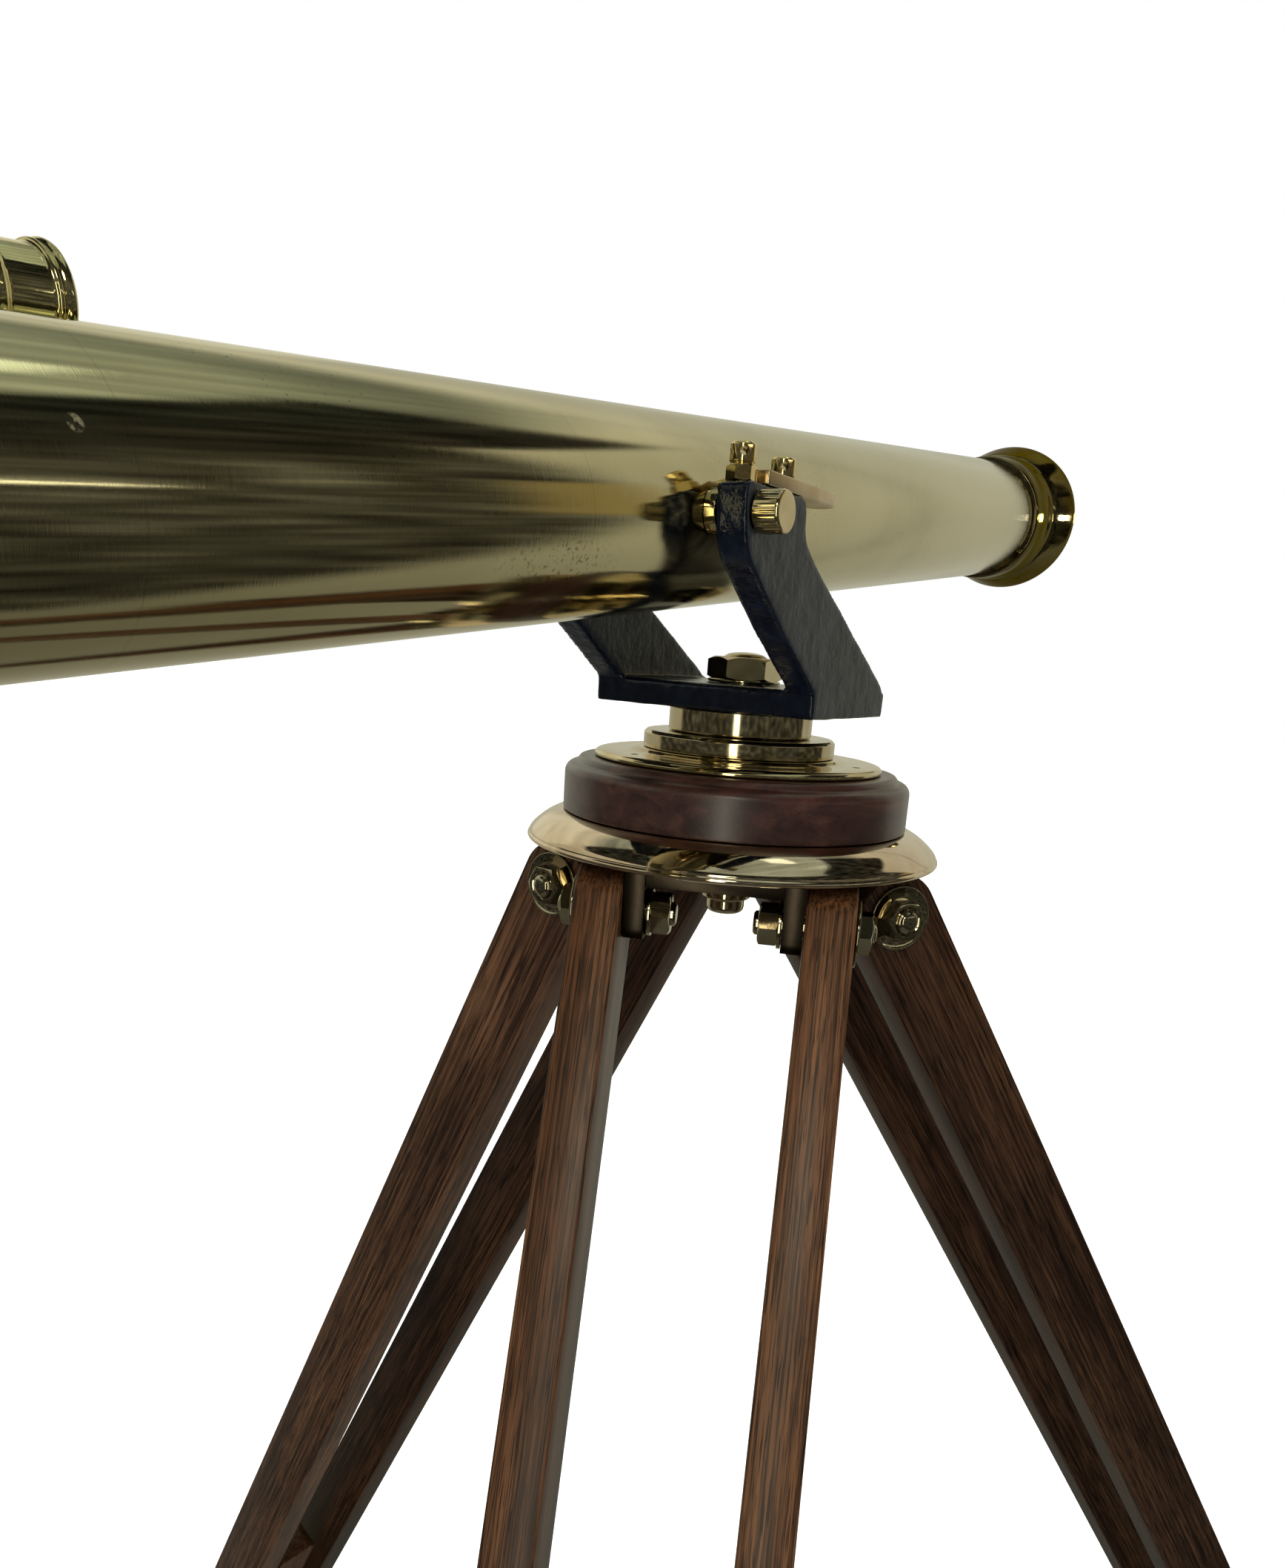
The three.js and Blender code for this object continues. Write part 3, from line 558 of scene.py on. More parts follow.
def brass(name, mesh, place, body, material, node):
    """Metal piece, handed the slot name that all the polished metal shares."""
    return piece(name, mesh, place, body, material, "polished_brass", node)


WORLD = Matrix.Identity(4)


# ---- telescope tube -----------------------------------------------------------------------
TUBE_RADIUS = 41.5
SADDLE_RADIUS = TUBE_RADIUS + 0.3


def rod(radius, low, high, axis, sides=48, corner=0.05):
    """Solid cylinder."""
    return turned([(low, 0), (low, radius), (high, radius), (high, 0)], axis, sides, corner, False)


def glass(name, profile, place, body, node, sides=112):
    mesh = turned(profile, sides=sides, closed=False)
    piece(name, mesh, place, body, "glass", "optical_glass", node)


def build_tube():
    wall = [(-430, 40), (-430, TUBE_RADIUS), (479, TUBE_RADIUS), (479, 40)]
    wall = turned(wall, sides=192, corner=0.4)
    piece("tube_wall", wall, TUBE, "tube", "tube", "lacquered_brass", "main_tube")
    cell = [
        (459, 39.7), (479.3, 39.7), (479.3, 43.0), (480.4, 43.9), (483, 44.3), (487, 44.1), (497, 44.0),
        (505, 44.6), (511, 45.9), (514.6, 46.5), (516.4, 46.1), (517.2, 45.4), (518, 45.5), (519.2, 46.6),
        (524, 48.1), (532, 50.2), (540, 52.2), (546, 53.6), (549.4, 54.1), (552, 53.7), (553.8, 52.4),
        (554.3, 51.0), (552.6, 49.6), (544, 46.8), (526, 42.4), (503, 40.3), (503, 38.4), (481, 38.4),
        (481, 36.4), (459, 36.4),
    ]
    brass("cell_ring", turned(cell, sides=160), TUBE, "tube", "cell", "objective_cell")
    crown = [
        (490.2, 0), (490.5, 14), (491.4, 28), (492.6, 38.1), (496.6, 38.1), (498.6, 28), (500, 14),
        (500.4, 0),
    ]
    glass("crown_lens", crown, TUBE, "tube", "objective_crown_lens")
    flint = [(482.4, 0), (482.1, 18), (481.4, 38.1), (491.9, 38.1), (490.8, 28), (490.0, 14), (489.8, 0)]
    glass("flint_lens", flint, TUBE, "tube", "objective_flint_lens")
    collar = [
        (-410, 39.7), (-410, 37.2), (-438, 37.2), (-452, 27.3), (-466, 27.3), (-466, 29.5),
        (-464.5, 31), (-459, 31.4), (-457, 32.2), (-453, 35), (-447, 40), (-441, 42.5), (-437, 43),
        (-435.5, 44.3), (-432, 44.3), (-430.3, 43.4), (-430.3, 39.7),
    ]
    brass("tail_ring", turned(collar, sides=160), TUBE, "tube", "polished", "tail_collar")
    for word, side in (("near", -1), ("far", 1)):
        profile = [
            (38, 0), (38, 9.2), (46.7, 9.2), (46.7, 6), (62.3, 6), (62.3, 7.6), (63.2, 8.5), (73.2, 8.5),
            (74.1, 8.1), (74.3, 7.2), (74.3, 0),
        ]
        milled = (*sorted((64 * side, 73 * side)), 30, 0.35, 8.2)
        pin = turned([(h * side, r) for h, r in profile], "y", 180, 0.3, False, milled)
        pin = cut(pin, rod(SADDLE_RADIUS, -20, 20, "x", 192, 0.1))
        name = f"trunnion_{word}"
        brass(f"trunnion_pin_{word}", pin, TUBE, "tube", "polished", name)


# ---- focuser and eyepiece -----------------------------------------------------------------
KNOB = [
    (11.4, 0), (11.4, 6), (13, 7.2), (15.5, 7.2), (17, 6), (19, 6), (20.2, 9), (21, 12), (22, 13.6),
    (30.5, 13.6), (32.2, 12), (32.6, 7), (33, 3), (33, 0),
]
PINION_TEETH = 12
# outline of one tooth: (turn from its middle in radians, radius)
TOOTH = ((-0.2, 4.6), (-0.12, 5.8), (-0.05, 6.6), (0.05, 6.6), (0.12, 5.8), (0.2, 4.6))


def build_focuser():
    wall = [
        (-445, 21.8), (-445, 27), (-466.3, 27), (-466.3, 29.2), (-467.5, 30), (-470.8, 30), (-472, 29.2),
        (-472.4, 27), (-474, 25.2), (-478, 25), (-538, 25), (-539.2, 25.6), (-540, 26.5), (-545, 26.5),
        (-546, 25.8), (-546, 21.8),
    ]
    x, y, z = PINION
    housing = bevelled(block((x - 14, -11, -40.5), (x + 14, 11, -22.5)), 2.2, 4)
    body = cut(
        union(turned(wall, sides=128), housing),
        rod(21.8, -560, -440, "x", 128, 0.1),
        block((-560, -4.6, -28), (-440, 4.6, -15)),
        moved(rod(7.4, -4.6, 4.6, "y", 48, 0.1), x, y, z),
        moved(rod(3.4, -20, 20, "y", 32, 0.1), x, y, z),
    )
    brass("focuser_sleeve", body, TUBE, "tube", "polished", "focuser_body")
    tube = [
        (-425, 20), (-425, 21.4), (-599.4, 21.4), (-600, 24.2), (-601.2, 25), (-605.8, 25), (-607, 24.2),
        (-607, 20),
    ]
    piece("draw_sleeve", turned(tube, sides=128), TUBE, "draw", "finder", "lacquered_brass", "draw_tube")
    build_pinion()
    barrel = [
        (-566, 14), (-566, 19.7), (-607.3, 19.7), (-607.3, 22.4), (-608.5, 23), (-623, 23), (-624.5, 22.2),
        (-629, 20.6), (-634, 19.2), (-641, 18), (-648, 17.6), (-649.4, 18.2), (-650.6, 19.4), (-655, 19.4),
        (-657, 17.8), (-657, 11), (-652, 8), (-650, 8), (-650, 10.3), (-644, 10.3), (-644, 14),
    ]
    mount = turned(barrel, sides=240, knurl=(-622.5, -609.5, 60, 0.45, 22.5))
    brass("eyepiece_mount", mount, TUBE, "eyepiece", "polished", "eyepiece_barrel")
    field = [(-572, 0), (-573, 13.7), (-575.5, 13.7), (-577.6, 8), (-578.6, 0)]
    glass("field_glass", field, TUBE, "eyepiece", "eyepiece_field_lens", 64)
    eye = [(-644.4, 0), (-645, 6), (-646, 10), (-649.7, 10), (-649.7, 0)]
    glass("eye_glass", eye, TUBE, "eyepiece", "eyepiece_eye_lens", 64)


def build_pinion():
    """Pinion, shaft and far knob in one turning, and the near knob bored for the shaft."""
    place = TUBE @ Matrix.Translation(tuple(v * MM for v in PINION))
    far = turned(KNOB, "y", 224, 0.5, False, (20.5, 32, 56, 0.5, 12.5))
    near = turned([(-h, r) for h, r in KNOB], "y", 224, 0.5, False, (-32, -20.5, 56, 0.5, 12.5))
    gear = []
    for i in range(PINION_TEETH):
        middle = TURN * i / PINION_TEETH + TURN / 4
        for turn, radius in TOOTH:
            gear.append((radius * math.cos(middle + turn), radius * math.sin(middle + turn)))
    pinion = union(prism(gear, -4, 4), rod(3, -31, 20, "y", 32, 0.2), far)
    brass("pinion_and_knob", pinion, place, "pinion", "polished", "focus_pinion")
    bored = cut(near, rod(3.3, -31.3, 0, "y", 32, 0.1))
    brass("near_knob", bored, place, "pinion", "polished", "focus_knob")


# ---- finder -------------------------------------------------------------------------------
FINDER_RADIUS = 12.6


def build_finder():
    wall = [
        (-240, 11.4), (-240, FINDER_RADIUS), (-450, FINDER_RADIUS), (-450.6, 13.4), (-452, 13.9),
        (-456, 13.9), (-457.4, 13.3), (-460, 12.4), (-464, 11.2), (-468, 10.6), (-480.6, 10.6),
        (-482, 10.2), (-482, 8.6), (-463, 8.6), (-456, 11.4),
    ]
    piece("finder_wall", turned(wall), FINDER, "tube", "finder", "lacquered_brass", "finder_tube")
    cell = [
        (-250, 12.9), (-250, 14.2), (-249.2, 14.8), (-245.8, 14.8), (-245, 14.1), (-244.2, 13.9),
        (-241.6, 14.0), (-240.8, 15.0), (-239.8, 15.5), (-238.2, 15.5), (-237.3, 14.9), (-236.8, 14.0),
        (-236, 13.8), (-224.6, 13.8), (-223.9, 14.2), (-223.5, 15.0), (-222.8, 15.3), (-222.1, 14.8),
        (-221.7, 14.7), (-221.2, 15.2), (-220.4, 15.7), (-219.4, 15.6), (-218.7, 14.8), (-218.7, 12.8),
        (-221, 11.6), (-239.7, 11.6), (-239.7, 12.9),
    ]
    ring = turned(cell, sides=224, corner=0.3, knurl=(-249, -246, 64, 0.3, 14.4))
    brass("finder_ring", ring, FINDER, "tube", "finder_cell", "finder_objective_cell")
    lens = [(-236.4, 0), (-236, 6), (-234.8, 11.3), (-232, 11.3), (-230.9, 6), (-230.4, 0)]
    glass("finder_glass", lens, FINDER, "tube", "finder_objective_lens", 64)
    ocular = [
        (-466, 6.6), (-466, 8.3), (-495.4, 8.3), (-496.2, 9.6), (-497.4, 10.8), (-504, 11), (-506.2, 10),
        (-507, 5), (-499, 3.6), (-499, 6.6),
    ]
    knob = turned(ocular, sides=192, knurl=(-503.6, -498, 48, 0.35, 10.6))
    brass("finder_ocular_ring", knob, FINDER, "finder_ocular", "polished", "finder_eyepiece")
    inner = FINDER_RADIUS + 0.3
    for word, x in (("front", -270), ("rear", -400)):
        band = turned([(x - 6, inner), (x - 6, 15.8), (x + 6, 15.8), (x + 6, inner)], corner=0.8)
        post = bevelled(moved(block((x - 5, -5, 40), (x + 5, 5, 57)), z=-FINDER_OFFSET), 1.0)
        foot = bevelled(moved(block((x - 15, -11, 36), (x + 15, 11, 44.6)), z=-FINDER_OFFSET), 1.4)
        saddle = moved(rod(SADDLE_RADIUS, x - 30, x + 30, "x", 192, 0.1), z=-FINDER_OFFSET)
        body = cut(union(band, post, foot), saddle, rod(inner, x - 30, x + 30, "x", 112, 0.1))
        name = f"finder_bracket_{word}"
        brass(f"finder_saddle_{word}", body, FINDER, "tube", "polished", name)


# ---- yoke ---------------------------------------------------------------------------------
# corners of an arm seen from the side, each with the reach of its curve
ARM = [
    (-46, 72, 3), (44, 72, 3), (40, 87, 7), (-58, 141, 9), (-70, 150, 5), (-72.5, 166.5, 3),
    (-127.5, 166.5, 5), (-124, 140, 10), (-83, 109, 6), (-45.5, 84, 3),
]
TRUNNION_X, TRUNNION_Z = -116, 155.6
SCREWS = {"rear": -117, "front": -81}
SCREW_Y = 53.2
ARM_INNER, ARM_OUTER = 47, 62
BASE_LOW, BASE_HIGH = 72, 85
ARM_TOP = 166.8
KEEPER_REAR, KEEPER_FRONT, KEEPER_HALF = -108.5, -37, 8.2


def arm_outline(steps=6):
    points = []
    for i, (x, y, reach) in enumerate(ARM):
        here = Vector((x, y))
        before = (Vector(ARM[i - 1][:2]) - here).normalized() * reach
        after = (Vector(ARM[(i + 1) % len(ARM)][:2]) - here).normalized() * reach
        for step in range(steps + 1):
            t = step / steps
            points.append(tuple(here + before * (1 - t) ** 2 + after * t ** 2))
    return points


def cast(mesh, voxel, relax, lumps):
    """Mesh with the soft edges and slightly uneven faces of a rough casting."""
    holder = placed("holder", mesh)
    remesh = holder.modifiers.new("voxels", "REMESH")
    remesh.mode = "VOXEL"
    remesh.voxel_size = voxel * MM
    smooth = holder.modifiers.new("soft", "SMOOTH")
    smooth.factor = 0.5
    smooth.iterations = relax
    texture = bpy.data.textures.new("lumps", "CLOUDS")
    texture.noise_scale = 0.012
    texture.noise_depth = 1
    displace = holder.modifiers.new("uneven", "DISPLACE")
    displace.texture = texture
    displace.strength = lumps * MM
    return baked(holder)


def build_yoke():
    base = block((-46, -ARM_OUTER, BASE_LOW), (42.5, ARM_OUTER, BASE_HIGH))
    near = prism(arm_outline(), -ARM_OUTER, -ARM_INNER)
    far = prism(arm_outline(), ARM_INNER, ARM_OUTER)
    holes = [moved(rod(6.5, -70, 70, "y"), TRUNNION_X, 0, TRUNNION_Z), rod(12.6, 60, 95, "z")]
    for side in (-1, 1):
        holes += [moved(rod(3.6, 158, 180, "z"), x, side * SCREW_Y) for x in SCREWS.values()]
    body = cast(cut(union(base, near, far), *holes), voxel=1.5, relax=5, lumps=0.5)
    piece("yoke_casting", body, HEAD, "yoke_body", "iron", "black_iron", "yoke", sharp=60)


def capstan_screw(bottom):
    """Screw with a hexagon, a drum and two crossed holes for a pin."""
    base = ARM_TOP
    profile = [
        (bottom, 0), (bottom, 3), (base + 1, 3), (base + 1, 5.2), (base + 6.2, 5.2), (base + 6.8, 4.4),
        (base + 7.4, 5.2), (base + 13.9, 5.2), (base + 14.8, 4.3), (base + 14.8, 2.2), (base + 14.4, 1.4),
        (base + 14.4, 0),
    ]
    body = union(nut(11, base, base + 6), turned(profile, "z", 64, 0.3, False))
    return cut(body, *[moved(rod(1.7, -8, 8, axis, 24), z=base + 11) for axis in ("y", "x")])


def keeper_plate():
    """Flat bar with a round front end."""
    centre, half = KEEPER_FRONT - KEEPER_HALF, KEEPER_HALF
    angles = [math.pi * (i / 24 - 0.5) for i in range(25)]
    tip = [(centre + half * math.cos(angle), half * math.sin(angle)) for angle in angles]
    bar = prism([(KEEPER_REAR, -half), *tip, (KEEPER_REAR, half)], ARM_TOP, ARM_TOP + 6, "z")
    return cut(bevelled(bar, 0.7), moved(rod(6.8, 160, 180, "z", 64), SCREWS["front"]))


def build_screws():
    for word, side in (("near", -1), ("far", 1)):
        for end, x in SCREWS.items():
            body = capstan_screw(162 if end == "rear" else 160)
            name = f"{word}_{end}"
            place = HEAD @ Matrix.Translation((x * MM, side * SCREW_Y * MM, 0)) @ Matrix.Rotation(0.6, 4, "Z")
            brass(f"capstan_screw_{name}", body, place, f"screw_{name}", "gold", f"clamp_screw_{name}")
        bar = moved(keeper_plate(), 0, side * SCREW_Y)
        name = f"keeper_bar_{word}"
        brass(f"keeper_plate_{word}", bar, HEAD, "yoke_body", "pink", name)


# ---- head ---------------------------------------------------------------------------------
BORE = 12.3
# drilled holes in the plate: where they stand, their circle, radius and bottom
PLATE_HOLES = {"angles": (-84, 36, 156), "circle": 65.4, "radius": 2, "bottom": 45.2}


def build_rings():
    upper = [(59, BORE), (59, 37.3), (59.6, 37.9), (71, 37.9), (71.7, 37.2), (71.7, BORE)]
    upper = turned(upper, "z", 144, 0.4)
    brass("upper_ring", upper, HEAD, "yoke_body", "machined", "azimuth_ring_upper")
    lower = [(49.8, BORE), (49.8, 50.7), (57.1, 50.7), (58.7, 49.1), (58.7, BORE)]
    lower = turned(lower, "z", 160, 0.35)
    brass("lower_ring", lower, HEAD, "head", "machined", "azimuth_ring_lower")
    plate = [
        (43.5, BORE), (43.5, 75.6), (44.1, 76.3), (45.3, 76.3), (46.6, 75.2), (47.2, 73), (47.5, 69),
        (47.6, 60), (48.0, 57), (48.8, 55), (49.5, 53.5), (49.5, BORE),
    ]
    drills = []
    for angle in map(math.radians, PLATE_HOLES["angles"]):
        x, y = PLATE_HOLES["circle"] * math.cos(angle), PLATE_HOLES["circle"] * math.sin(angle)
        drills.append(moved(rod(PLATE_HOLES["radius"], PLATE_HOLES["bottom"], 50, "z", 32), x, y))
    plate = cut(turned(plate, "z", 176, 0.3), *drills)
    brass("dished_plate", plate, HEAD, "head", "polished", "head_plate")


def build_disc_and_flange():
    disc = [
        (14.8, BORE), (14.8, 90.9), (15.6, 91.6), (35.2, 91.6), (37.4, 90.7), (38.8, 89.2), (39.5, 86.9),
        (39.9, 85.6), (41.4, 84.8), (42.8, 83.6), (43.2, 81.8), (43.2, BORE),
    ]
    disc = turned(disc, "z", 192)
    piece("turned_disc", disc, HEAD, "head", "disc", "dark_stained_wood", "head_disc")
    flange = [
        (-3.4, BORE), (-3.4, 98), (-1.6, 107), (-1.2, 108.6), (-0.7, 109.6), (0.2, 110), (1.1, 109.8),
        (1.7, 109.3), (2.1, 109.0), (2.7, 109.0), (4.2, 108.1), (6.6, 105.8), (8.9, 103.1), (11.1, 100),
        (12.9, 96.6), (14.0, 93.8), (14.5, 92.2), (14.5, BORE),
    ]
    flange = turned(flange, "z", 208)
    brass("bell_flange", flange, HEAD, "head", "flange", "leg_flange")


def build_pivot():
    """Pivot bolt through the whole head, with its head and washer below and its nut above, and the lugs."""
    tip = [
        (-38.8, 0), (-38.8, 6.4), (-38.4, 8.2), (-37.2, 9.8), (-35.6, 10.4), (-31.4, 10.4), (-30.8, 10.6),
        (-30.3, 11.2), (-30.3, 12.6), (-29.7, 13.2), (-26.6, 13.5), (-26.2, 13.2), (-25.8, 13.5), (-23, 13.9),
        (-23, 0),
    ]
    shank = [(-30, 0), (-30, 12), (97, 12), (98.4, 11.4), (99.8, 9.4), (100.7, 5.4), (101, 0)]
    washer = [(-15, 0), (-15, 17), (-14.4, 17.5), (-12.8, 17.5), (-12.2, 17), (-12.2, 0)]
    bolt = union(
        turned(shank, "z", 72, 0.4, False),
        nut(30, -23.6, -14),
        turned(washer, "z", 72, 0.3, False),
        turned(tip, "z", 72, 0.35, False),
    )
    brass("centre_bolt", bolt, HEAD, "head", "machined", "pivot_bolt")
    collar = [(85.3, 0), (85.3, 18.6), (85.8, 19), (86.5, 19), (86.9, 18.6), (86.9, 0)]
    top = union(nut(34, 86.3, 98.3), turned(collar, "z", 96, 0.2, False))
    top = cut(top, rod(BORE, 80, 120, "z", 72))
    top.transform(Matrix.Rotation(TURN / 12, 4, "Z"))
    brass("centre_nut", top, HEAD, "head", "machined", "pivot_nut")
    lugs = refined("lug_spider", 1.2)
    brass("hub_and_lugs", lugs, WORLD, "head", "bronze", "lug_spider")


# ---- stand --------------------------------------------------------------------------------
BAR = {"offset": 55.7, "thickness": 23.5, "width": 45.9, "length": 960, "taper": 0.0106}
SLIDER = {"half_width": 23, "half_thickness": 13, "length": 507, "chamfer": 8}
LUG_INNER = 33.3
SHOE_HEIGHT = 46
CLAMP_RISE = 32


def hinge_bolt(side):
    """Bolt, dished washer, plain washer and two nuts, along +Y times side."""
    out = BAR["offset"] + BAR["thickness"] / 2 + 0.5
    inn = LUG_INNER - 0.3

    def along(profile, corner=0.35):
        return turned(profile, "y", 72, corner, False)

    core = along([
        (inn - 14, 0), (inn - 14, 4.8), (inn - 13, 6), (out + 8.8, 6), (out + 9.2, 5.2), (out + 10.2, 4.4),
        (out + 10.9, 2.6), (out + 11, 0),
    ])
    dish = along([
        (out, 0), (out, 16.6), (out + 0.7, 17.3), (out + 1.7, 17.2), (out + 1.9, 16.5), (out + 1.4, 15.4),
        (out + 0.8, 13.2), (out + 0.6, 11), (out + 0.6, 0),
    ])
    plain = along([(inn, 0), (inn, 11.8), (inn - 2, 11.8), (inn - 2, 0)])
    sink = [(out + 7.4, 0), (out + 7.4, 6.5), (out + 8.2, 7.6), (out + 9, 7.8), (out + 9, 0)]
    outer = cut(nut(19, out + 0.2, out + 8.4, "y"), along(sink, 0.2))
    inner = nut(19, inn - 11.5, inn - 1.5, "y")
    mesh = union(core, dish, plain, outer, inner)
    if side < 0:
        mesh.transform(Matrix.Scale(-1, 4, (0, 1, 0)))
        mesh.flip_normals()
    return mesh


def leg_bar(side):
    """Bar with a round top and a bolt hole, and its place in the leg's frame."""
    half, thick, length = BAR["width"] / 2, BAR["thickness"] / 2, BAR["length"]
    angles = [math.pi * i / 40 for i in range(41)]
    top = [(half * math.cos(angle), half * math.sin(angle)) for angle in angles]
    bar = bevelled(prism([(-half, -length), (half, -length), *top], -thick, thick), 1.3, 3, 40)
    place = Matrix.Translation((0, side * BAR["offset"] * MM, 0))
    place @= Matrix.Rotation(-side * BAR["taper"], 4, "X")
    return cut(bar, rod(6.7, -30, 30, "y")), place


def thumb_screw():
    depth = BAR["width"] / 2 + 0.3
    profile = [
        (13.3, 0), (13.3, 4.6), (13.8, 5), (depth + 11.4, 5), (depth + 11.4, 7.4), (depth + 12, 8),
        (depth + 15, 8.2), (depth + 17, 9.4), (depth + 18.6, 13), (depth + 19.6, 15.6), (depth + 21, 16.5),
        (depth + 30, 16.5), (depth + 31.8, 15.6), (depth + 32.8, 12), (depth + 33.4, 6), (depth + 33.5, 0),
    ]
    return turned(profile, "x", 256, 0.5, False, (depth + 20.2, depth + 30.8, 64, 0.6, 15.8))


def slider_bar(hinge_height, lean):
    """Bar from the shoe upwards, with its top corners cut off."""
    half, thick, chamfer = SLIDER["half_width"], SLIDER["half_thickness"], SLIDER["chamfer"]
    bottom = SHOE_HEIGHT - hinge_height / MM / math.cos(lean)
    top = bottom + SLIDER["length"]
    outline = [
        (-half, bottom), (half, bottom), (half, top - chamfer), (half - chamfer, top), (chamfer - half, top),
        (-half, top - chamfer),
    ]
    slider = bevelled(prism(outline, -thick, thick), 1.3)
    slider.transform(Matrix.Rotation(math.pi / 2, 4, "Z"))
    return slider


def build_leg(name, seed):
    upright, leaning = leg_places(name)
    leg, slider = f"leg_{name}", f"slider_{name}"
    for word, side in (("a", -1), ("b", 1)):
        bolt = f"hinge_bolt_{name}_{word}"
        screw = f"hinge_screw_{name}_{word}"
        brass(screw, hinge_bolt(side), upright, "head", "bolt", bolt)
        bar, offset = leg_bar(side)
        wood = f"oak_{name}_{word}"
        MATERIALS[wood] = oak(wood, seed + side * 0.37, TONES[name][side > 0])
        node = f"leg_bar_{name}_{word}"
        piece(f"oak_bar_{name}_{word}", bar, leaning @ offset, leg, wood, "stained_wood", node)
    clamp = refined(f"leg_clamp_{name}", 1.2)
    brass(f"clamp_casting_{name}", clamp, WORLD, leg, "polished", f"leg_clamp_{name}")
    place = leaning @ Matrix.Translation((0, 0, (CLAMP_RISE - BAR["length"]) * MM))
    knob = f"thumb_screw_{name}"
    brass(f"{knob}_knob", thumb_screw(), place, knob, "polished", f"clamp_knob_{name}")
    lean = math.acos(-JOINTS[f"leg_{name}_slide"]["axis"][2])
    bar = slider_bar(JOINTS[f"leg_{name}_hinge"]["pos_m"][2], lean)
    wood = f"oak_{name}_slider"
    MATERIALS[wood] = oak(wood, seed + 0.9, TONES[name][2])
    piece(f"oak_slider_{name}", bar, leaning, slider, wood, "stained_wood", f"leg_slider_{name}")
    shoe = refined(f"leg_foot_{name}", 0.9)
    brass(f"shoe_{name}", shoe, WORLD, slider, "machined", f"leg_foot_{name}")


# ---- studio -------------------------------------------------------------------------------
FLOOR_SUN = 3.6
# small lamps that only the objective ring mirrors: place on the ring (x, y), then azimuth and elevation
GLINTS = ((488.5, -44.1, -13.6, 6.9), (531.1, -50, -43.3, 5.4))
GLINT_DISTANCE, GLINT_SIZE, GLINT_POWER = 1.5, 0.1, 5.0
# soft lamps: place from the head in metres, width and depth, power
LAMPS = {"key": ((-1.8, -2.0, 1.9), (1.8, 1.4), 30), "overhead": ((0.3, -0.4, 2.6), (2.4, 1.6), 22)}
# (elevation in degrees, brightness) of the room's walls and of its dark side
WALL_LEVELS = (
    (-90, 0.08), (-50, 0.2), (-25, 0.36), (-5, 0.5), (15, 0.57), (30, 0.54), (37, 0.6), (42.5, 0.74),
    (46, 0.5), (50, 0.25), (57, 0.3), (62, 0.46), (66, 0.42), (72, 0.4), (90, 0.32),
)
DARK_LEVELS = ((-90, 0.03), (-40, 0.04), (-12, 0.06), (8, 0.075), (22, 0.09), (36, 0.03), (60, 0.02))
CREAM, CEILING, PANEL, WHITE = (1.0, 0.98, 0.78), (0.93, 1.03, 0.84), (0.34, 0.27, 0.12), (1.0, 1.0, 1.0)
# the walls turn into the ceiling between these elevations
CEILING_FROM, CEILING_TO = 43.0, 52.0
# lowest azimuth, highest azimuth, lowest elevation, highest elevation, soft edge across, soft edge up
DARK_CARDS = (
    (-220, -37, -52, 55, 5, 3), (165, 220, -52, 50, 5, 4), (105, 170, -52, 12, 8, 6),
    (-60, -15, 39.5, 58, 5, 2), (93, 165, 43, 64, 6, 4),
)
PANEL_CARD = (-40, -34, 5, 20, 2, 3)
# the same, then the added brightness: lamps and windows of the room
BRIGHT_CARDS = (
    (-112, -63, 12.4, 13.2, 1, 0.4, 2.6), (-161, -154, -26, 16, 1.5, 3, 4.5), (-32, -10, 70, 76, 4, 2, 1.1),
    (50, 84, 6, 34, 6, 5, 0.22), (-160, -149, 26, 33, 3, 3, 9.0),
)
# the curved seam between two wall panels: its nearest point, its bend, half width, soft edge and darkness
SEAM_AZIMUTH, SEAM_ELEVATION = -16, 5
SEAM_BEND, SEAM_HALF, SEAM_SOFT, SEAM_DARK = 0.0165, 0.35, 0.5, 0.38
# how the ceiling's beams and the dark side's clutter are stretched
BEAM_STRETCH, BEAM_LOWEST = 11.0, 0.2
CLUTTER_ACROSS, CLUTTER_UP, CLUTTER_CONTRAST = 0.16, 0.24, 3.5


def light_only(holder, lit):
    """Keep a lamp's light on one object."""
    receivers = bpy.data.collections.new(f"{holder.name}_receivers")
    receivers.objects.link(lit)
    holder.light_linking.receiver_collection = receivers


def build_floor():
    """Pale floor. It lights the object but isn't mirrored in it: a white floor would wash out the metal."""
    mesh = to_mesh([(-30, -30, 0), (30, -30, 0), (30, 30, 0), (-30, 30, 0)], [(0, 1, 2, 3)])
    floor = placed("floor", mesh)
    mesh.materials.append(Shader("pale_floor").finish((0.93, 0.93, 0.93), 0.8, Specular_IOR_Level=0.0))
    floor.visible_glossy = False
    wash = bpy.data.lights.new("floor_wash", "SUN")
    wash.energy = FLOOR_SUN
    wash.angle = math.radians(50)
    holder = placed("floor_wash", wash)
    holder.location = (0, 0, 4)
    holder.visible_glossy = False
    light_only(holder, floor)


def lamp(name, place, target, size, power):
    """Soft lamp for the diffuse light only; the surround is what the metal mirrors."""
    light = bpy.data.lights.new(name, "AREA")
    light.shape = "RECTANGLE"
    light.size, light.size_y = size
    light.energy = power
    holder = placed(name, light)
    holder.location = place
    holder.rotation_euler = (Vector(target) - Vector(place)).to_track_quat("-Z", "Y").to_euler()
    holder.visible_glossy = False
    return holder


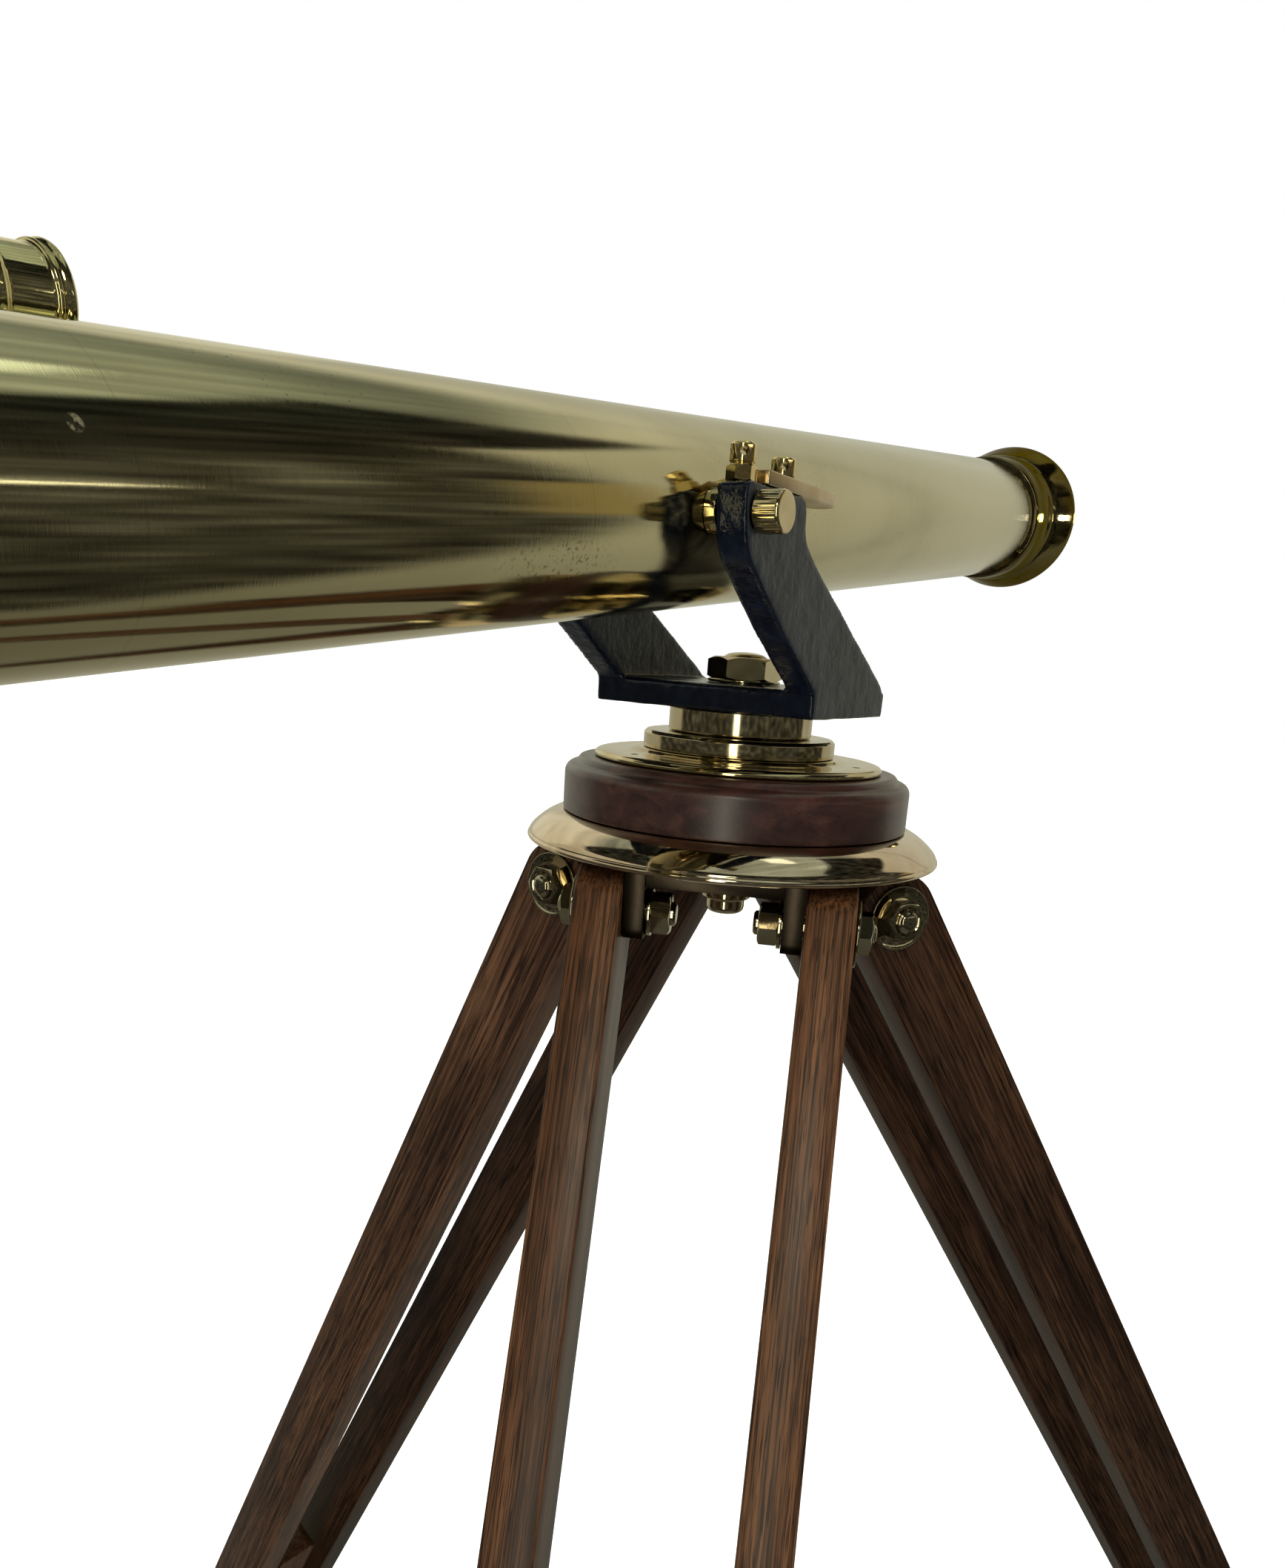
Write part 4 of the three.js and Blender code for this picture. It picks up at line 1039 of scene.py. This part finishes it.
class Room(Nodes):
    """The surround as a function of the direction's azimuth and elevation in degrees."""

    def __init__(self, tree):
        super().__init__(tree)
        direction = self.node("ShaderNodeTexCoord").outputs["Generated"]
        self.x, self.y, self.z = self.split(direction)
        self.azimuth = self.math("DEGREES", self.math("ARCTAN2", self.y, self.x))
        self.elevation = self.math("DEGREES", self.math("ARCSINE", self.z))

    def window(self, value, centre, half, soft):
        """1 within half of centre, falling to 0 over soft."""
        made = self.node("ShaderNodeMapRange", interpolation_type="SMOOTHSTEP")
        limits = {"From Min": half, "From Max": half + soft, "To Min": 1.0, "To Max": 0.0}
        for key, number in limits.items():
            made.inputs[key].default_value = number
        away = self.math("ABSOLUTE", self.math("SUBTRACT", value, centre))
        self.plug(away, made.inputs["Value"])
        return made.outputs["Result"]

    def card(self, low_az, high_az, low_el, high_el, soft_az, soft_el):
        """1 inside a patch given by its lowest and highest azimuth and elevation."""
        across = self.window(self.azimuth, (low_az + high_az) / 2, (high_az - low_az) / 2, soft_az)
        height = self.window(self.elevation, (low_el + high_el) / 2, (high_el - low_el) / 2, soft_el)
        return self.math("MULTIPLY", across, height)

    def graded(self, stops):
        """Brightness that follows the elevation through (angle, level) stops."""
        share = self.math("DIVIDE", self.math("SUBTRACT", self.elevation, -90), 180)
        return self.ramp(share, *[((angle + 90) / 180, level) for angle, level in stops])

    def blended(self, factor, first, second):
        rest = self.math("SUBTRACT", 1.0, factor)
        return self.math("ADD", self.math("MULTIPLY", first, rest), self.math("MULTIPLY", second, factor))

    def seam(self):
        above = self.math("SUBTRACT", self.elevation, SEAM_ELEVATION)
        bend = self.math("MULTIPLY", self.math("MULTIPLY", above, above), SEAM_BEND)
        away = self.math("SUBTRACT", self.azimuth, self.math("ADD", bend, SEAM_AZIMUTH))
        line = self.window(away, 0.0, SEAM_HALF, SEAM_SOFT)
        return self.math("SUBTRACT", 1.0, self.math("MULTIPLY", line, SEAM_DARK))

    def pattern(self, across, along, detail):
        """Noise around 1 over two coordinates."""
        place = self.node("ShaderNodeCombineXYZ")
        self.plug(across, place.inputs[0])
        self.plug(along, place.inputs[1])
        return self.math("MULTIPLY", self.noise(1.0, detail, vector=place.outputs[0]), 2.0)

    def beams(self):
        upward = self.math("MAXIMUM", self.z, BEAM_LOWEST)
        along = self.math("MULTIPLY", self.math("DIVIDE", self.y, upward), BEAM_STRETCH)
        return self.pattern(self.math("DIVIDE", self.x, upward), along, 3.0)

    def clutter(self):
        across = self.math("MULTIPLY", self.azimuth, CLUTTER_ACROSS)
        height = self.math("MULTIPLY", self.elevation, CLUTTER_UP)
        return self.math("POWER", self.pattern(across, height, 5.0), CLUTTER_CONTRAST)


def build_world():
    """Room round the object, white to the camera: pale walls, a dark side, lamps and windows."""
    world = bpy.data.worlds.new("studio")
    bpy.context.scene.world = world
    world.use_nodes = True
    world.node_tree.nodes.clear()
    room = Room(world.node_tree)
    high = room.node("ShaderNodeMapRange")
    high.inputs["From Min"].default_value = CEILING_FROM
    high.inputs["From Max"].default_value = CEILING_TO
    room.plug(room.elevation, high.inputs["Value"])
    high = high.outputs["Result"]
    level = room.math("MULTIPLY", room.graded(WALL_LEVELS), room.seam())
    level = room.blended(high, level, room.math("MULTIPLY", level, room.beams()))
    dark_level = room.math("MULTIPLY", room.graded(DARK_LEVELS), room.clutter())
    for place in DARK_CARDS:
        level = room.blended(room.card(*place), level, dark_level)
    for *place, extra in BRIGHT_CARDS:
        level = room.math("ADD", level, room.math("MULTIPLY", room.card(*place), extra))
    color = room.mix(1.0, level, room.mix(high, CREAM, CEILING), "MULTIPLY")
    color = room.mix(room.card(*PANEL_CARD), color, PANEL)
    color = room.mix(room.node("ShaderNodeLightPath").outputs["Is Camera Ray"], color, WHITE)
    background = room.node("ShaderNodeBackground")
    room.plug(color, background.inputs["Color"])
    room.plug(background.outputs[0], room.node("ShaderNodeOutputWorld").inputs["Surface"])


# camera: from the head axis and the flange rim, in millimetres; angles as yaw from +X, pitch, roll
CAMERA_SPOT = (-528.56, -280.56, 101.62)
CAMERA_YAW, CAMERA_PITCH, CAMERA_ROLL = 0.5632, -0.2334, 0.0673
CAMERA_FOCAL = 1496.56
IMAGE_SIZE = (1736, 2116)
CAMERA_RISE = 167.68


def build_camera():
    lens = bpy.data.cameras.new("camera")
    lens.sensor_fit = "VERTICAL"
    lens.sensor_height = 36
    lens.lens = 36 * CAMERA_FOCAL / IMAGE_SIZE[1]
    lens.shift_y = CAMERA_RISE / IMAGE_SIZE[1]
    lens.clip_start = 0.02
    lens.clip_end = 100
    camera = placed("camera", lens)
    forward = Vector((
        math.cos(CAMERA_YAW) * math.cos(CAMERA_PITCH),
        math.sin(CAMERA_YAW) * math.cos(CAMERA_PITCH),
        math.sin(CAMERA_PITCH),
    ))
    level = Vector((math.sin(CAMERA_YAW), -math.cos(CAMERA_YAW), 0))
    upward = level.cross(forward)
    right = level * math.cos(CAMERA_ROLL) + upward * math.sin(CAMERA_ROLL)
    up = upward * math.cos(CAMERA_ROLL) - level * math.sin(CAMERA_ROLL)
    turn = Matrix((right, up, -forward)).transposed().to_4x4()
    place = HEAD @ Matrix.Translation(tuple(v * MM for v in CAMERA_SPOT))
    camera.matrix_world = Matrix.Translation(place.translation) @ turn
    bpy.context.scene.camera = camera


def build_studio():
    build_floor()
    build_world()
    build_camera()
    head = HEAD.translation
    for name, (away, size, power) in LAMPS.items():
        lamp(name, head + Vector(away), head, size, power)
    for number, (x, y, azimuth, elevation) in enumerate(GLINTS):
        turn, rise = math.radians(azimuth), math.radians(elevation)
        source = TUBE @ Vector((x * MM, y * MM, 0))
        away = Vector((math.cos(rise) * math.cos(turn), math.cos(rise) * math.sin(turn), math.sin(rise)))
        place = source + away * GLINT_DISTANCE
        glint = lamp(f"glint_{number}", place, source, (GLINT_SIZE, GLINT_SIZE), GLINT_POWER)
        glint.visible_glossy = True
        light_only(glint, bpy.data.objects["cell_ring"])
    view = bpy.context.scene.view_settings
    view.view_transform = "Standard"
    view.look = "None"


build_tube()
build_focuser()
build_finder()
build_yoke()
build_screws()
build_rings()
build_disc_and_flange()
build_pivot()
for leg_name, grain_seed in LEG_SEEDS.items():
    build_leg(leg_name, grain_seed)
# the rack keeps its CAD mesh, whose teeth are already in full detail
for rack_slot in frame["nodes"]["focus_rack"].material_slots:
    rack_slot.material = MATERIALS["machined"]
build_studio()
